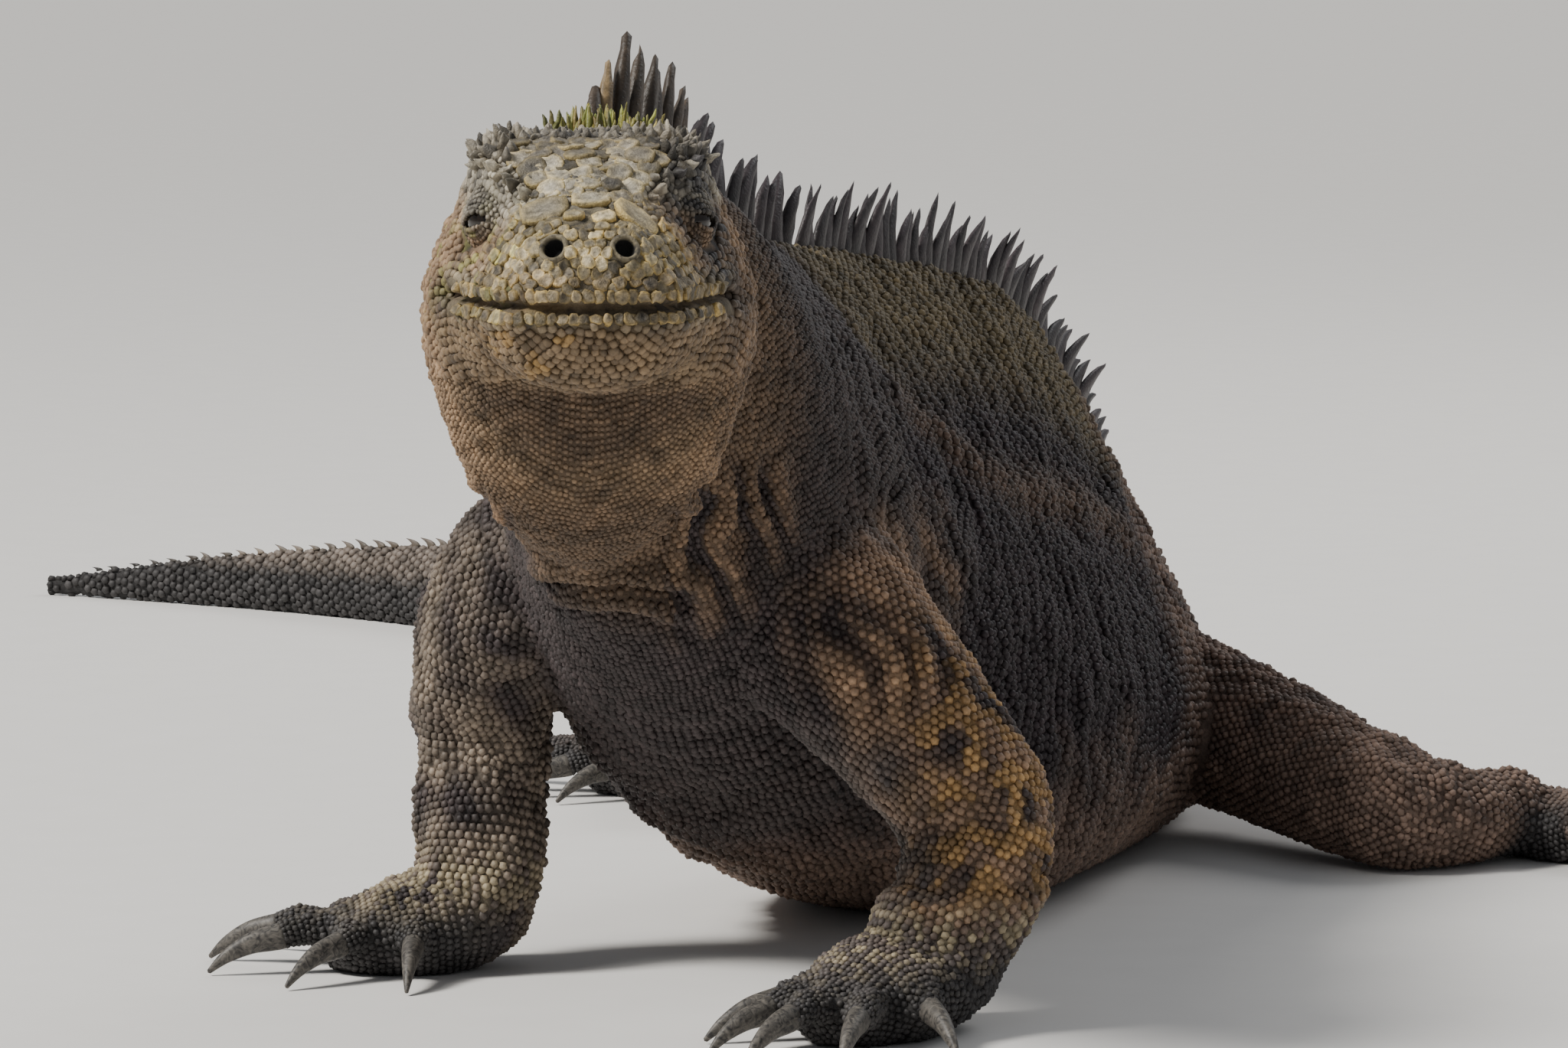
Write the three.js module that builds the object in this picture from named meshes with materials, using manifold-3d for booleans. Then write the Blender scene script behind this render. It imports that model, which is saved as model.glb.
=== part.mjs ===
// Marine iguana: a large male with its chest raised on the forelegs, its belly and tail on the ground.
// Millimetres, +Z up. It faces -Y and its left side is towards +X.
// The origin is on the ground, under the middle of the whole animal.
import * as THREE from "three";
import { mergeVertices } from "three/addons/utils/BufferGeometryUtils.js";
import Module from "manifold-3d";

const wasm = await Module();
wasm.setup();

// Driving dimensions
const gap = 0.3; // left between parts that touch
const headHeading = 24; // degrees that the head turns to the animal's left
const nostrilHeight = 172; // above the ground
const nostrilPlace = new THREE.Vector3(38, -122, nostrilHeight);
const snoutReach = 54; // from the ear back to the nostrils
const headBack = -14; // where the head meets the neck, behind the ear
const mouthLevel = -12.5; // below the nostrils
const mouthCorner = 21; // how far ahead of the ear the mouth ends
const eyeRadius = 4.6;
const eyePlace = { ahead: 27, out: 22.4, up: 3.6 };
const nostril = {
  radius: 2.0, rim: 0.9, depth: 2, ahead: 58.0, out: 6.8, up: -1.5, outward: 0.4, upward: 0.6,
};
const ear = { place: 1.25, level: 2.55, high: 5, wide: 3.4, deep: 2.2 };
const lip = { depth: 2.6, swell: 0.035, fromRow: 4 };
const lid = { rim: 1.6, clear: 0.4, wide: 1.25, high: 0.8, out: 2.0, forward: 0.35 };
const snoutDome = 3; // how far the end of the snout rounds out
const crownScute = { rows: 7, firstRow: 1, rowStep: 0.62, radius: 3.3, narrowing: 0.1, height: 2.6 };
const snoutScute = { fromRow: 5, height: 1.1 };
const browScute = {
  count: 5, firstRow: 1.4, rowStep: 0.66, level: 1.02, radius: 2.9, height: 3.4, outward: 0.4,
};
const neck = { sides: 24, rings: 8, drift: 18, blended: 0.75 }; // drift is how far the nape runs back
const napeSpine = {
  count: 9, length: 23, base: 6, thick: 3, splay: 0.14, first: 0.16, last: 0.92, leanBack: 0.25, curl: 0.2,
};
const backSpine = { spacing: 8.8, length: 15.5, longest: 22, base: 6.6, thick: 2.4, least: 0.35 };
const backFade = { nape: 2, shoulder: 4.5, hips: 8.5, end: 13.5 }; // rows where the crest changes in height
const tailSpine = { spacing: 14, length: 6, base: 5, thick: 1.6, least: 0.25, fadeRows: 8 };
const spineRoot = 3; // sunk below the ridge
const scuteRoot = 1.6; // sunk below the skin
const digitRadius = 4.3;
const clawLength = 16;
const clawRadius = 2.5;
const headSides = 24;
const headRings = 17;
const lipRings = 9;
const groundDepth = 80;
const rowStep = 0.05; // a short way along the rows, to measure directions by

// Sections of the head from the neck to the snout. Each row holds the place ahead of the ear, the crown,
// then out and up for the brow, the temple, the cheek, the jowl and the throat's side, and the throat.
const headSections = [
  [headBack, 17, 14.5, 14, 24.5, 2, 31, -14, 30.5, -34, 20.5, -60, -72],
  [-3, 18.5, 18.5, 16.5, 27.5, 3, 33.8, -13, 32.5, -33, 21.5, -58, -70],
  [8, 19.5, 20.5, 18, 27.5, 4, 33.8, -13, 32, -31, 21.5, -54, -64],
  [18, 19.5, 20.5, 18, 26, 4, 32, -12, 29.5, -28, 17.5, -47, -55],
  [27, 18.5, 18.5, 16.5, 23, 3.5, 28, -11, 26, -25, 15, -36, -42],
  [36, 14, 14, 12, 20.5, 2, 25, -10, 23, -22, 14, -29, -32],
  [45, 9, 9, 7.5, 17.5, 0, 21.5, -10, 20.5, -20.5, 13.5, -28, -30],
  [52, 5, 10, 3.5, 14.8, -2, 19.2, -10, 18.6, -19.5, 12, -26.5, -28.5],
  [56.5, 3, 8.5, 1.5, 13.5, -3, 17.2, -10, 16.8, -18, 10.5, -24.5, -26.5],
  [59.5, -1, 7, -2.5, 11, -6, 14, -11, 13.5, -17, 8, -22, -23.5],
];

// Sections of the body from the nape to the tip of the tail. Each row holds the place across and along,
// the heights of the back, of the widest level and of the belly, half the width, and how full
// the section is above and below its widest level.
const bodySections = [
  [16, -47, 188, 146, 90, 31, 2.0, 2.0],
  [12, -30, 184, 138, 78, 34, 1.8, 2.1],
  [7, -8, 177, 124, 62, 39, 1.6, 2.1],
  [3, 20, 169.5, 106, 44, 45, 1.5, 2.2],
  [1, 52, 163, 88, 25, 49, 1.42, 2.3],
  [0, 98, 158, 70, 8, 52, 1.36, 2.5],
  [0, 141, 153, 56, -1, 52, 1.3, 2.8],
  [0, 185, 147, 48, -1.2, 47, 1.22, 2.8],
  [0, 224, 136, 42, -1.2, 40, 1.16, 2.8],
  [-1, 262, 112, 36, -1.2, 34, 1.18, 2.7],
  [-4, 296, 85, 31, -1.2, 29, 1.25, 2.5],
  [-13, 328, 65, 26, -1.2, 24.5, 1.4, 2.4],
  [-34, 362, 52, 23, -1, 20, 1.7, 2.3],
  [-66, 403, 45, 20, -1, 16, 1.9, 2.2],
  [-108, 453, 41, 18.5, -1, 13, 1.9, 2.2],
  [-161, 507, 38, 17, -1, 10.8, 1.9, 2.2],
  [-222, 560, 35, 16, -1, 9, 1.9, 2.2],
  [-290, 607, 31, 14.5, -1, 7.5, 1.9, 2.2],
  [-362, 646, 25.5, 12, -0.8, 5.8, 1.9, 2.2],
  [-438, 671, 17.5, 8.5, -0.6, 4, 1.9, 2.2],
  [-516, 683, 6, 3, -0.3, 1.5, 1.9, 2],
];

// Nodes along the body, each from one place to another in the rows above.
const bodyNodes = [
  { name: "torso_front", from: 2, to: 4.5, sides: 22, rings: 7, colour: 0x2c282b },
  { name: "torso_middle", from: 4.5, to: 7.5, sides: 22, rings: 7, colour: 0x2a2427 },
  { name: "torso_rear", from: 7.5, to: 11.3, sides: 22, rings: 9, colour: 0x2e2624 },
  { name: "tail_1", from: 11.3, to: 14, sides: 12, rings: 8, colour: 0x3d3633 },
  { name: "tail_2", from: 14, to: 16, sides: 10, rings: 6, colour: 0x46403d },
  { name: "tail_3", from: 16, to: 17.5, sides: 10, rings: 5, colour: 0x4a4441 },
  { name: "tail_4", from: 17.5, to: 18.8, sides: 8, rings: 4, colour: 0x4a4441 },
  { name: "tail_5", from: 18.8, to: 20, sides: 8, rings: 4, colour: 0x4a4441 },
];

// Legs. Rows of centre and radius run down each length. Digits hold a bearing in degrees
// from straight ahead towards the animal's left, and the reach from the middle of the palm to the claw.
const legs = {
  fore_left: {
    upper: [[18, 10, 102, 23], [34, 4, 85, 22.5], [52, 0, 70, 20], [67, -2, 55, 18],
      [75, -4, 45, 16.5]],
    lower: [[74, -2, 50, 16], [77.5, -7, 38, 16.3], [77, -14, 27, 15.6], [72, -22, 17, 14.5]],
    palm: [[74, -12, 12, 12], [71, -24, 11, 16], [66, -38, 9, 17], [62, -50, 7, 12]],
    middle: [68, -32],
    digits: [[-49, 42], [-30, 49], [-13, 54], [9, 50], [42, 38]],
    hint: [0, 1, 0],
  },
  fore_right: {
    upper: [[-18, 16, 104, 21], [-34, 18, 92, 20.5], [-48, 22, 76, 18.5], [-54, 26, 60, 16.5],
      [-55, 27, 50, 15]],
    lower: [[-55, 27, 54, 15], [-54, 25, 42, 15], [-52, 21, 29, 14.5], [-52, 17, 17, 14]],
    palm: [[-51, 24, 12, 12], [-56, 16, 11, 16], [-66, 8, 9, 17], [-76, 2, 7, 12]],
    middle: [-62, 10],
    digits: [[20, 38], [-20, 42], [-56, 48], [-82, 50], [-108, 44]],
    hint: [0, 1, 0],
  },
  hind_left: {
    upper: [[4, 298, 34, 18], [24, 290, 28, 19], [48, 274, 23.5, 18.5], [74, 254, 18.5, 16.8],
      [92, 240, 14.5, 14]],
    lower: [[90, 240, 13.5, 13], [101, 252, 13, 12.5], [108, 268, 12, 11], [111, 282, 10, 9.5]],
    palm: [[108, 288, 8, 9], [116, 281, 8, 13], [128, 278, 7, 14], [139, 277, 5.5, 10]],
    middle: [120, 279],
    digits: [[34, 38], [58, 46], [77, 54], [96, 60], [130, 43]],
    hint: [0, 0, 1],
  },
  hind_right: {
    upper: [[-26, 312, 34, 18], [-46, 304, 28, 19], [-70, 290, 23.5, 18.5], [-94, 274, 18.5, 16.8],
      [-108, 264, 14.5, 14]],
    lower: [[-106, 264, 13.5, 13], [-114, 277, 13, 12.5], [-118, 293, 12, 11], [-119, 306, 10, 9.5]],
    palm: [[-115, 312, 8, 9], [-122, 306, 8, 13], [-134, 303, 7, 14], [-145, 302, 5.5, 10]],
    middle: [-126, 304],
    digits: [[-34, 38], [-58, 46], [-77, 54], [-96, 60], [-130, 43]],
    hint: [0, 0, 1],
  },
};

const colours = {
  head: 0x837a64,
  jaw: 0x8a7048,
  neck: 0x6e5136,
  eye: 0x1c1712,
  leg: 0x5c4330,
  foot: 0x3c3b3d,
  claw: 0x55534f,
};

// A small generator with a fixed seed, so that the varied forms are the same each time.
let seed = 20817;
function random() {
  seed = (seed * 1664525 + 1013904223) % 4294967296;
  return seed / 4294967296;
}

// Solids and meshes
function solidOf(geometry) {
  const plain = geometry.index ? geometry : geometry.clone();
  plain.deleteAttribute("normal");
  plain.deleteAttribute("uv");
  const merged = mergeVertices(plain, 1e-4);
  const made = new wasm.Manifold(
    new wasm.Mesh({
      numProp: 3,
      vertProperties: merged.attributes.position.array,
      triVerts: new Uint32Array(merged.index.array),
    }),
  );
  return made;
}

// The largest closed surface of a solid, without loose scraps or sealed hollows.
function largest(solid) {
  const bodies = solid.decompose();
  return bodies.reduce((best, body) => (body.volume() > best.volume() ? body : best));
}

function geometryOf(solid) {
  const mesh = solid.getMesh();
  const geometry = new THREE.BufferGeometry();
  geometry.setAttribute("position", new THREE.BufferAttribute(mesh.vertProperties, 3));
  geometry.setIndex(new THREE.BufferAttribute(mesh.triVerts, 1));
  geometry.computeVertexNormals();
  return geometry;
}

function join(solids) {
  return solids.reduce((sum, solid) => sum.add(solid));
}

// A closed solid through rings of equally many points, with a fan over each end.
function loft(rings, startPoint, endPoint) {
  const sides = rings[0].length;
  const points = rings.flat();
  const faces = [];
  for (let i = 0; i + 1 < rings.length; i++) {
    for (let k = 0; k < sides; k++) {
      const next = (k + 1) % sides;
      const a = i * sides + k;
      const b = i * sides + next;
      faces.push(a, b, b + sides, a, b + sides, a + sides);
    }
  }
  const middle = (ring) => ring.reduce((sum, p) => sum.add(p), new THREE.Vector3()).divideScalar(sides);
  const start = points.push(startPoint || middle(rings[0])) - 1;
  const end = points.push(endPoint || middle(rings[rings.length - 1])) - 1;
  const last = (rings.length - 1) * sides;
  for (let k = 0; k < sides; k++) {
    const next = (k + 1) % sides;
    faces.push(start, next, k);
    faces.push(end, last + k, last + next);
  }
  const signed = volumeOf(points, faces);
  if (signed < 0) faces.reverse();
  const geometry = new THREE.BufferGeometry().setFromPoints(points);
  geometry.setIndex(faces);
  return solidOf(geometry);
}

function volumeOf(points, faces) {
  let volume = 0;
  for (let i = 0; i < faces.length; i += 3) {
    const [a, b, c] = [points[faces[i]], points[faces[i + 1]], points[faces[i + 2]]];
    volume += a.dot(b.clone().cross(c)) / 6;
  }
  return volume;
}

function box(low, high) {
  const size = new THREE.Vector3().subVectors(high, low);
  const geometry = new THREE.BoxGeometry(size.x, size.y, size.z);
  geometry.translate((low.x + high.x) / 2, (low.y + high.y) / 2, (low.z + high.z) / 2);
  return geometry;
}

// The ground under the whole animal, which trims what would reach below it.
const ground = solidOf(box(new THREE.Vector3(-900, -500, -groundDepth), new THREE.Vector3(900, 900, 0)));

// Smooth interpolation between the rows of a list, at a place counted in rows.
function rowAt(rows, place) {
  const last = rows.length - 1;
  const k = Math.min(Math.max(Math.floor(place), 0), last - 1);
  const u = place - k;
  const row = (i) => rows[Math.min(Math.max(i, 0), last)];
  return rows[k].map((value, j) => {
    const [a, b, c, d] = [row(k - 1)[j], value, row(k + 1)[j], row(k + 2)[j]];
    return b + 0.5 * u * (c - a + u * (2 * a - 5 * b + 4 * c - d + u * (3 * (b - c) + d - a)));
  });
}

function spread(from, to, count) {
  return Array.from({ length: count }, (_, i) => from + ((to - from) * i) / (count - 1));
}

// Body
function power(value, fullness) {
  return Math.sign(value) * Math.pow(Math.abs(value), 2 / fullness);
}

function bodyFrame(place) {
  const last = bodySections.length - 1;
  const ahead = rowAt(bodySections, Math.max(place - rowStep, 0));
  const behind = rowAt(bodySections, Math.min(place + rowStep, last));
  const back = new THREE.Vector3(behind[0] - ahead[0], behind[1] - ahead[1], 0).normalize();
  const left = new THREE.Vector3(back.y, -back.x, 0);
  return { back, left };
}

// One ring of the body, from the ridge of the back down its left side and up its right side.
function bodyRing(place, sides, grow = 0) {
  const [x, y, top, wide, bottom, half, above, below] = rowAt(bodySections, place);
  const { left } = bodyFrame(place);
  return Array.from({ length: sides }, (_, k) => {
    const angle = Math.PI / 2 - (2 * Math.PI * k) / sides;
    const [c, s] = [Math.cos(angle), Math.sin(angle)];
    const full = s >= 0 ? above : below;
    const tall = s >= 0 ? top - wide + grow : wide - bottom + grow;
    const point = left.clone().multiplyScalar((half + grow) * power(c, full));
    return point.add(new THREE.Vector3(x, y, wide + tall * power(s, full)));
  });
}

// Head
const turn = THREE.MathUtils.degToRad(headHeading);
const headAhead = new THREE.Vector3(Math.sin(turn), -Math.cos(turn), 0);
const headLeft = new THREE.Vector3(Math.cos(turn), Math.sin(turn), 0);
const headUp = new THREE.Vector3(0, 0, 1);
const headOrigin = nostrilPlace.clone().addScaledVector(headAhead, -snoutReach);

function headPlace(ahead, out, up) {
  return headOrigin.clone().addScaledVector(headAhead, ahead).addScaledVector(headLeft, out)
    .addScaledVector(headUp, up);
}

const headFrame = new THREE.Matrix4().makeBasis(headLeft, headAhead.clone().negate(), headUp);

// A point on the head at a row place, and at a level from 0 on the crown to 6 on the throat, on one side.
function headPoint(place, level, side, swell = 0) {
  const row = rowAt(headSections, place);
  const outline = [[0, row[1]], [row[2], row[3]], [row[4], row[5]], [row[6], row[7]]];
  outline.push([row[8], row[9]], [row[10], row[11]], [0, row[12]]);
  const mirrored = [[-row[2], row[3]], ...outline, [-row[10], row[11]]];
  const [out, up] = rowAt(mirrored, level + 1);
  const middle = (row[1] + row[12]) / 2;
  const scale = 1 + swell;
  return headPlace(row[0], side * out * scale, middle + (up - middle) * scale);
}

function headRing(place, sides, swell = 0) {
  return Array.from({ length: sides }, (_, k) => {
    const level = (12 * k) / sides;
    return level <= 6 ? headPoint(place, level, 1, swell) : headPoint(place, 12 - level, -1, swell);
  });
}

function headSurface(place, level, side) {
  const point = headPoint(place, level, side);
  const alongHead = headPoint(place + rowStep, level, side).sub(headPoint(place - rowStep, level, side));
  const round = headPoint(place, level + rowStep, side).sub(headPoint(place, level - rowStep, side));
  const normal = alongHead.cross(round).normalize();
  if (normal.dot(point.clone().sub(headPlace(10, 0, -15))) < 0) normal.negate();
  return { point, normal };
}

// A low pointed scute of few sides, with its root sunk below the surface.
function scute(point, normal, radius, height, sides = 5) {
  const geometry = new THREE.CylinderGeometry(radius / 4, radius, height + scuteRoot, sides, 1);
  geometry.translate(0, (height - scuteRoot) / 2, 0);
  geometry.rotateY(random() * Math.PI);
  const lean = new THREE.Quaternion().setFromUnitVectors(new THREE.Vector3(0, 1, 0), normal);
  geometry.applyQuaternion(lean);
  geometry.translate(point.x, point.y, point.z);
  return solidOf(geometry);
}

// A flat curved spine. It rises along up, leans towards back, and its root is sunk in the ridge.
function spine(point, up, back, length, base, thick, lean) {
  const side = new THREE.Vector3().crossVectors(up, back).normalize();
  const section = (rise, shift, long, wide) => {
    const middle = point.clone().addScaledVector(up, rise).addScaledVector(back, shift);
    return [
      middle.clone().addScaledVector(back, long / 2),
      middle.clone().addScaledVector(side, wide / 2),
      middle.clone().addScaledVector(back, -long / 2),
      middle.clone().addScaledVector(side, -wide / 2),
    ];
  };
  const root = section(-spineRoot, 0, base, thick);
  const halfway = section(length * 0.5, lean * 0.3, base * 0.72, thick * 0.75);
  const tip = point.clone().addScaledVector(up, length).addScaledVector(back, lean);
  return loft([root, halfway], undefined, tip);
}

function ridgeFrame(place) {
  const top = (at) => {
    const [x, y, height] = rowAt(bodySections, at);
    return new THREE.Vector3(x, y, height);
  };
  const last = bodySections.length - 1;
  const back = top(Math.min(place + rowStep, last)).sub(top(Math.max(place - rowStep, 0))).normalize();
  const { left } = bodyFrame(place);
  const up = new THREE.Vector3().crossVectors(left, back).normalize();
  if (up.z < 0) up.negate();
  return { point: top(place), up, back };
}

// Spines along the ridge between two places, clear of both ends.
function ridgeSpines(from, to, kind, lengthAt) {
  const margin = 5.5;
  const walkSteps = 240;
  const walk = spread(from, to, walkSteps).map((place) => ({ place, point: ridgeFrame(place).point }));
  const lengths = [0];
  for (let i = 1; i < walk.length; i++) {
    lengths.push(lengths[i - 1] + walk[i].point.distanceTo(walk[i - 1].point));
  }
  const total = lengths[lengths.length - 1];
  const count = Math.max(Math.floor((total - 2 * margin) / kind.spacing), 1);
  return Array.from({ length: count + 1 }, (_, i) => {
    const distance = margin + ((total - 2 * margin) * i) / count;
    const index = lengths.findIndex((length) => length >= distance);
    const { point, up, back } = ridgeFrame(walk[index].place);
    const length = lengthAt(walk[index].place) * (0.85 + 0.3 * random());
    return spine(point, up, back, length, kind.base, kind.thick, length * (0.2 + 0.15 * random()));
  });
}

function headSolids() {
  const lastRow = headSections.length - 1;
  const [snoutEnd, snoutTop] = headSections[lastRow];
  const snoutMiddle = (snoutTop + headSections[lastRow][12]) / 2;
  const snoutTip = headPlace(snoutEnd + snoutDome, 0, snoutMiddle);
  const places = spread(0, lastRow, headRings);
  const whole = loft(places.map((place) => headRing(place, headSides)), undefined, snoutTip);
  const lipPlaces = spread(lip.fromRow, lastRow, lipRings);
  const lips = loft(lipPlaces.map((place) => headRing(place, headSides, lip.swell)), undefined, snoutTip);
  const reach = 90;
  const band = (low, high, grow = 0) => {
    const corner = new THREE.Vector3(reach, -mouthCorner + grow, high);
    const geometry = box(new THREE.Vector3(-reach, -reach, low), corner);
    geometry.applyMatrix4(headFrame);
    geometry.translate(headOrigin.x, headOrigin.y, headOrigin.z);
    return solidOf(geometry);
  };
  const upperLip = lips.intersect(band(mouthLevel, mouthLevel + lip.depth));
  const lowerLip = lips.intersect(band(mouthLevel - lip.depth, mouthLevel));
  const below = band(-reach, mouthLevel);
  const belowGrown = band(-reach, mouthLevel + gap, gap);
  let head = whole.add(upperLip);
  const added = [];
  const sockets = [];
  for (const side of [1, -1]) {
    const centre = headPlace(eyePlace.ahead, side * eyePlace.out, eyePlace.up);
    const lids = new THREE.TorusGeometry(eyeRadius + lid.clear, lid.rim, 6, 14);
    lids.scale(lid.wide, lid.high, 1);
    const outward = headLeft.clone().multiplyScalar(side).addScaledVector(headAhead, lid.forward);
    outward.normalize();
    const across = new THREE.Vector3().crossVectors(headUp, outward).normalize();
    lids.applyMatrix4(new THREE.Matrix4().makeBasis(across, headUp, outward));
    const lidCentre = centre.clone().addScaledVector(outward, lid.out);
    lids.translate(lidCentre.x, lidCentre.y, lidCentre.z);
    added.push(solidOf(lids));
    const socket = new THREE.SphereGeometry(eyeRadius + gap, 14, 8);
    socket.translate(centre.x, centre.y, centre.z);
    sockets.push(solidOf(socket));
    const rim = new THREE.TorusGeometry(nostril.radius + nostril.rim / 2, nostril.rim, 5, 10);
    const nostrilCentre = headPlace(nostril.ahead, side * nostril.out, nostril.up);
    const forward = headAhead.clone().addScaledVector(headLeft, side * nostril.outward);
    forward.addScaledVector(headUp, nostril.upward).normalize();
    const lean = new THREE.Quaternion().setFromUnitVectors(new THREE.Vector3(0, 0, 1), forward);
    rim.applyQuaternion(lean);
    rim.translate(nostrilCentre.x, nostrilCentre.y, nostrilCentre.z);
    added.push(solidOf(rim));
    const pit = new THREE.SphereGeometry(nostril.radius, 10, 6);
    pit.scale(1, 1, nostril.depth);
    pit.applyQuaternion(lean);
    pit.translate(nostrilCentre.x, nostrilCentre.y, nostrilCentre.z);
    sockets.push(solidOf(pit));
    const cup = new THREE.SphereGeometry(1, 12, 6);
    cup.scale(ear.deep, ear.wide, ear.high);
    cup.applyMatrix4(headFrame);
    const earSurface = headSurface(ear.place, ear.level, side).point;
    cup.translate(earSurface.x, earSurface.y, earSurface.z);
    sockets.push(solidOf(cup));
  }
  added.push(...crownScutes());
  head = join([head, ...added]);
  head = sockets.reduce((rest, socket) => rest.subtract(socket), head).subtract(belowGrown);
  const jaw = whole.add(lowerLip).intersect(below);
  return { head: largest(head), jaw: largest(jaw) };
}

// Knobs over the crown and the brow, and flatter plates down the snout.
function crownScutes() {
  const solids = [];
  for (let row = 0; row < crownScute.rows; row++) {
    const place = crownScute.firstRow + row * crownScute.rowStep;
    const tall = row >= snoutScute.fromRow ? snoutScute.height : crownScute.height;
    const levels = row % 2 ? [0.28, 0.8] : [0, 0.52];
    for (const level of levels) {
      for (const side of level === 0 ? [1] : [1, -1]) {
        const { point, normal } = headSurface(place, level, side);
        const radius = crownScute.radius - crownScute.narrowing * row;
        solids.push(scute(point, normal, radius, tall * (0.8 + 0.5 * random())));
      }
    }
  }
  for (const side of [1, -1]) {
    for (let i = 0; i < browScute.count; i++) {
      const place = browScute.firstRow + i * browScute.rowStep;
      const { point, normal } = headSurface(place, browScute.level, side);
      const outward = normal.clone().addScaledVector(headLeft, side * browScute.outward).normalize();
      solids.push(scute(point, outward, browScute.radius, browScute.height * (0.8 + 0.4 * random())));
    }
  }
  return solids;
}

// Neck: it starts as the head's own outline and turns into the first section of the body.
function neckSolid() {
  const meeting = headRing(0, neck.sides).map((p) => p.addScaledVector(headAhead, -gap));
  const neckEnd = bodyNodes[0].from - endGap(bodyNodes[0].from);
  const between = (start, end, share) => {
    const drift = headAhead.clone().multiplyScalar(-neck.drift * share);
    return start.clone().add(drift).lerp(end, THREE.MathUtils.smoothstep(share, 0, neck.blended));
  };
  const rings = spread(0, 1, neck.rings).map((share) => {
    const ring = bodyRing(share * neckEnd, neck.sides);
    return ring.map((p, k) => between(meeting[k], p, share));
  });
  const solids = [loft(rings)];
  const back = headAhead.clone().negate();
  spread(napeSpine.first, napeSpine.last, napeSpine.count).forEach((share, i) => {
    const point = between(meeting[0], bodyRing(share * neckEnd, 4)[0], share);
    const length = napeSpine.length * (0.8 + 0.3 * random()) * (i === 0 ? 0.75 : 1);
    const splay = napeSpine.splay * (2 * random() - 1);
    const up = headUp.clone().addScaledVector(back, napeSpine.leanBack).addScaledVector(headLeft, splay);
    up.normalize();
    const level = back.clone().addScaledVector(up, -back.dot(up)).normalize();
    solids.push(spine(point, up, level, length, napeSpine.base, napeSpine.thick, length * napeSpine.curl));
  });
  return largest(join(solids));
}

// The share of a row by which a node stops short of its neighbour.
function endGap(place) {
  const a = rowAt(bodySections, Math.max(place - rowStep, 0));
  const b = rowAt(bodySections, Math.min(place + rowStep, bodySections.length - 1));
  const perRow = Math.hypot(b[0] - a[0], b[1] - a[1]) / (2 * rowStep);
  return gap / 2 / perRow;
}

function bodySolid(node) {
  const last = bodySections.length - 1;
  const from = node.from + endGap(node.from);
  const to = node.to === last ? last : node.to - endGap(node.to);
  const rings = spread(from, to, node.rings).map((place) => bodyRing(place, node.sides));
  const isTail = node.name.startsWith("tail");
  const kind = isTail ? tailSpine : backSpine;
  const lengthAt = (place) => {
    if (isTail) {
      const toTip = (last + 1 - place) / tailSpine.fadeRows;
      return tailSpine.length * THREE.MathUtils.clamp(toTip, tailSpine.least, 1);
    }
    const fromNape = THREE.MathUtils.smoothstep(place, backFade.nape, backFade.shoulder);
    const full = THREE.MathUtils.lerp(backSpine.longest, backSpine.length, fromNape);
    const toTail = (backFade.end - place) / (backFade.end - backFade.hips);
    return full * THREE.MathUtils.clamp(toTail, backSpine.least, 1);
  };
  return largest(join([loft(rings), ...ridgeSpines(node.from, node.to, kind, lengthAt)]).subtract(ground));
}

// Legs
// A round or flattened length through rows of centre and radius, with its ends rounded over where asked.
function tube(rows, options) {
  const { sides, steps, hint, flat = 1, round = [true, true], grow = 0 } = options;
  const last = rows.length - 1;
  const { from: start = 0, to: end = last } = options;
  const up = new THREE.Vector3(...hint);
  const centre = (place) => new THREE.Vector3(...rowAt(rows, place).slice(0, 3));
  const ring = (place, shift, scale) => {
    const from = centre(Math.max(place - rowStep, 0));
    const tangent = centre(Math.min(place + rowStep, last)).sub(from).normalize();
    const side = new THREE.Vector3().crossVectors(tangent, up).normalize();
    const rise = new THREE.Vector3().crossVectors(side, tangent);
    const radius = (rowAt(rows, place)[3] + grow) * scale;
    const middle = centre(place).addScaledVector(tangent, shift * rowAt(rows, place)[3]);
    return Array.from({ length: sides }, (_, k) => {
      const angle = (2 * Math.PI * k) / sides;
      return middle.clone().addScaledVector(side, radius * Math.cos(angle))
        .addScaledVector(rise, radius * flat * Math.sin(angle));
    });
  };
  const rings = spread(start, end, steps).map((place) => ring(place, 0, 1));
  const [shoulder, crown] = [{ out: 0.42, scale: 0.72 }, { out: 0.62, scale: 0.3 }];
  const rounding = (place, way) => [shoulder, crown].map(({ out, scale }) => ring(place, way * out, scale));
  if (round[0]) rings.unshift(...rounding(start, -1).reverse());
  if (round[1]) rings.push(...rounding(end, 1));
  return loft(rings);
}

// A digit arches from the palm to the ground, and its claw goes on in a node of its own.
function digit(middle, bearing, reach) {
  const angle = THREE.MathUtils.degToRad(bearing);
  const way = new THREE.Vector3(Math.sin(angle), -Math.cos(angle), 0);
  const fleshReach = reach - clawLength;
  const at = (distance, height, radius) => [
    middle[0] + way.x * distance,
    middle[1] + way.y * distance,
    height,
    radius,
  ];
  const rows = [at(0, 8, digitRadius), at(fleshReach * 0.45, 9.2, digitRadius)];
  rows.push(at(fleshReach * 0.78, 10.2, digitRadius * 0.96), at(fleshReach, 8.4, digitRadius * 0.8));
  const clawRow = rows.length - 1;
  rows.push(at(fleshReach + clawLength * 0.4, 7, clawRadius * 0.8));
  rows.push(at(fleshReach + clawLength * 0.75, 4.2, clawRadius * 0.5), at(reach, 0.9, 0.5));
  const clawRows = rows.map((row, i) => (i <= clawRow ? [...row.slice(0, 3), clawRadius] : row));
  const common = { hint: [0, 0, 1], round: [false, false] };
  const half = gap / clawLength;
  const finger = tube(rows, { ...common, sides: 6, steps: 5, to: clawRow - half });
  const claw = tube(clawRows, { ...common, sides: 6, steps: 5, from: clawRow + half });
  return { finger, claw };
}

const group = new THREE.Group();

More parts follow.
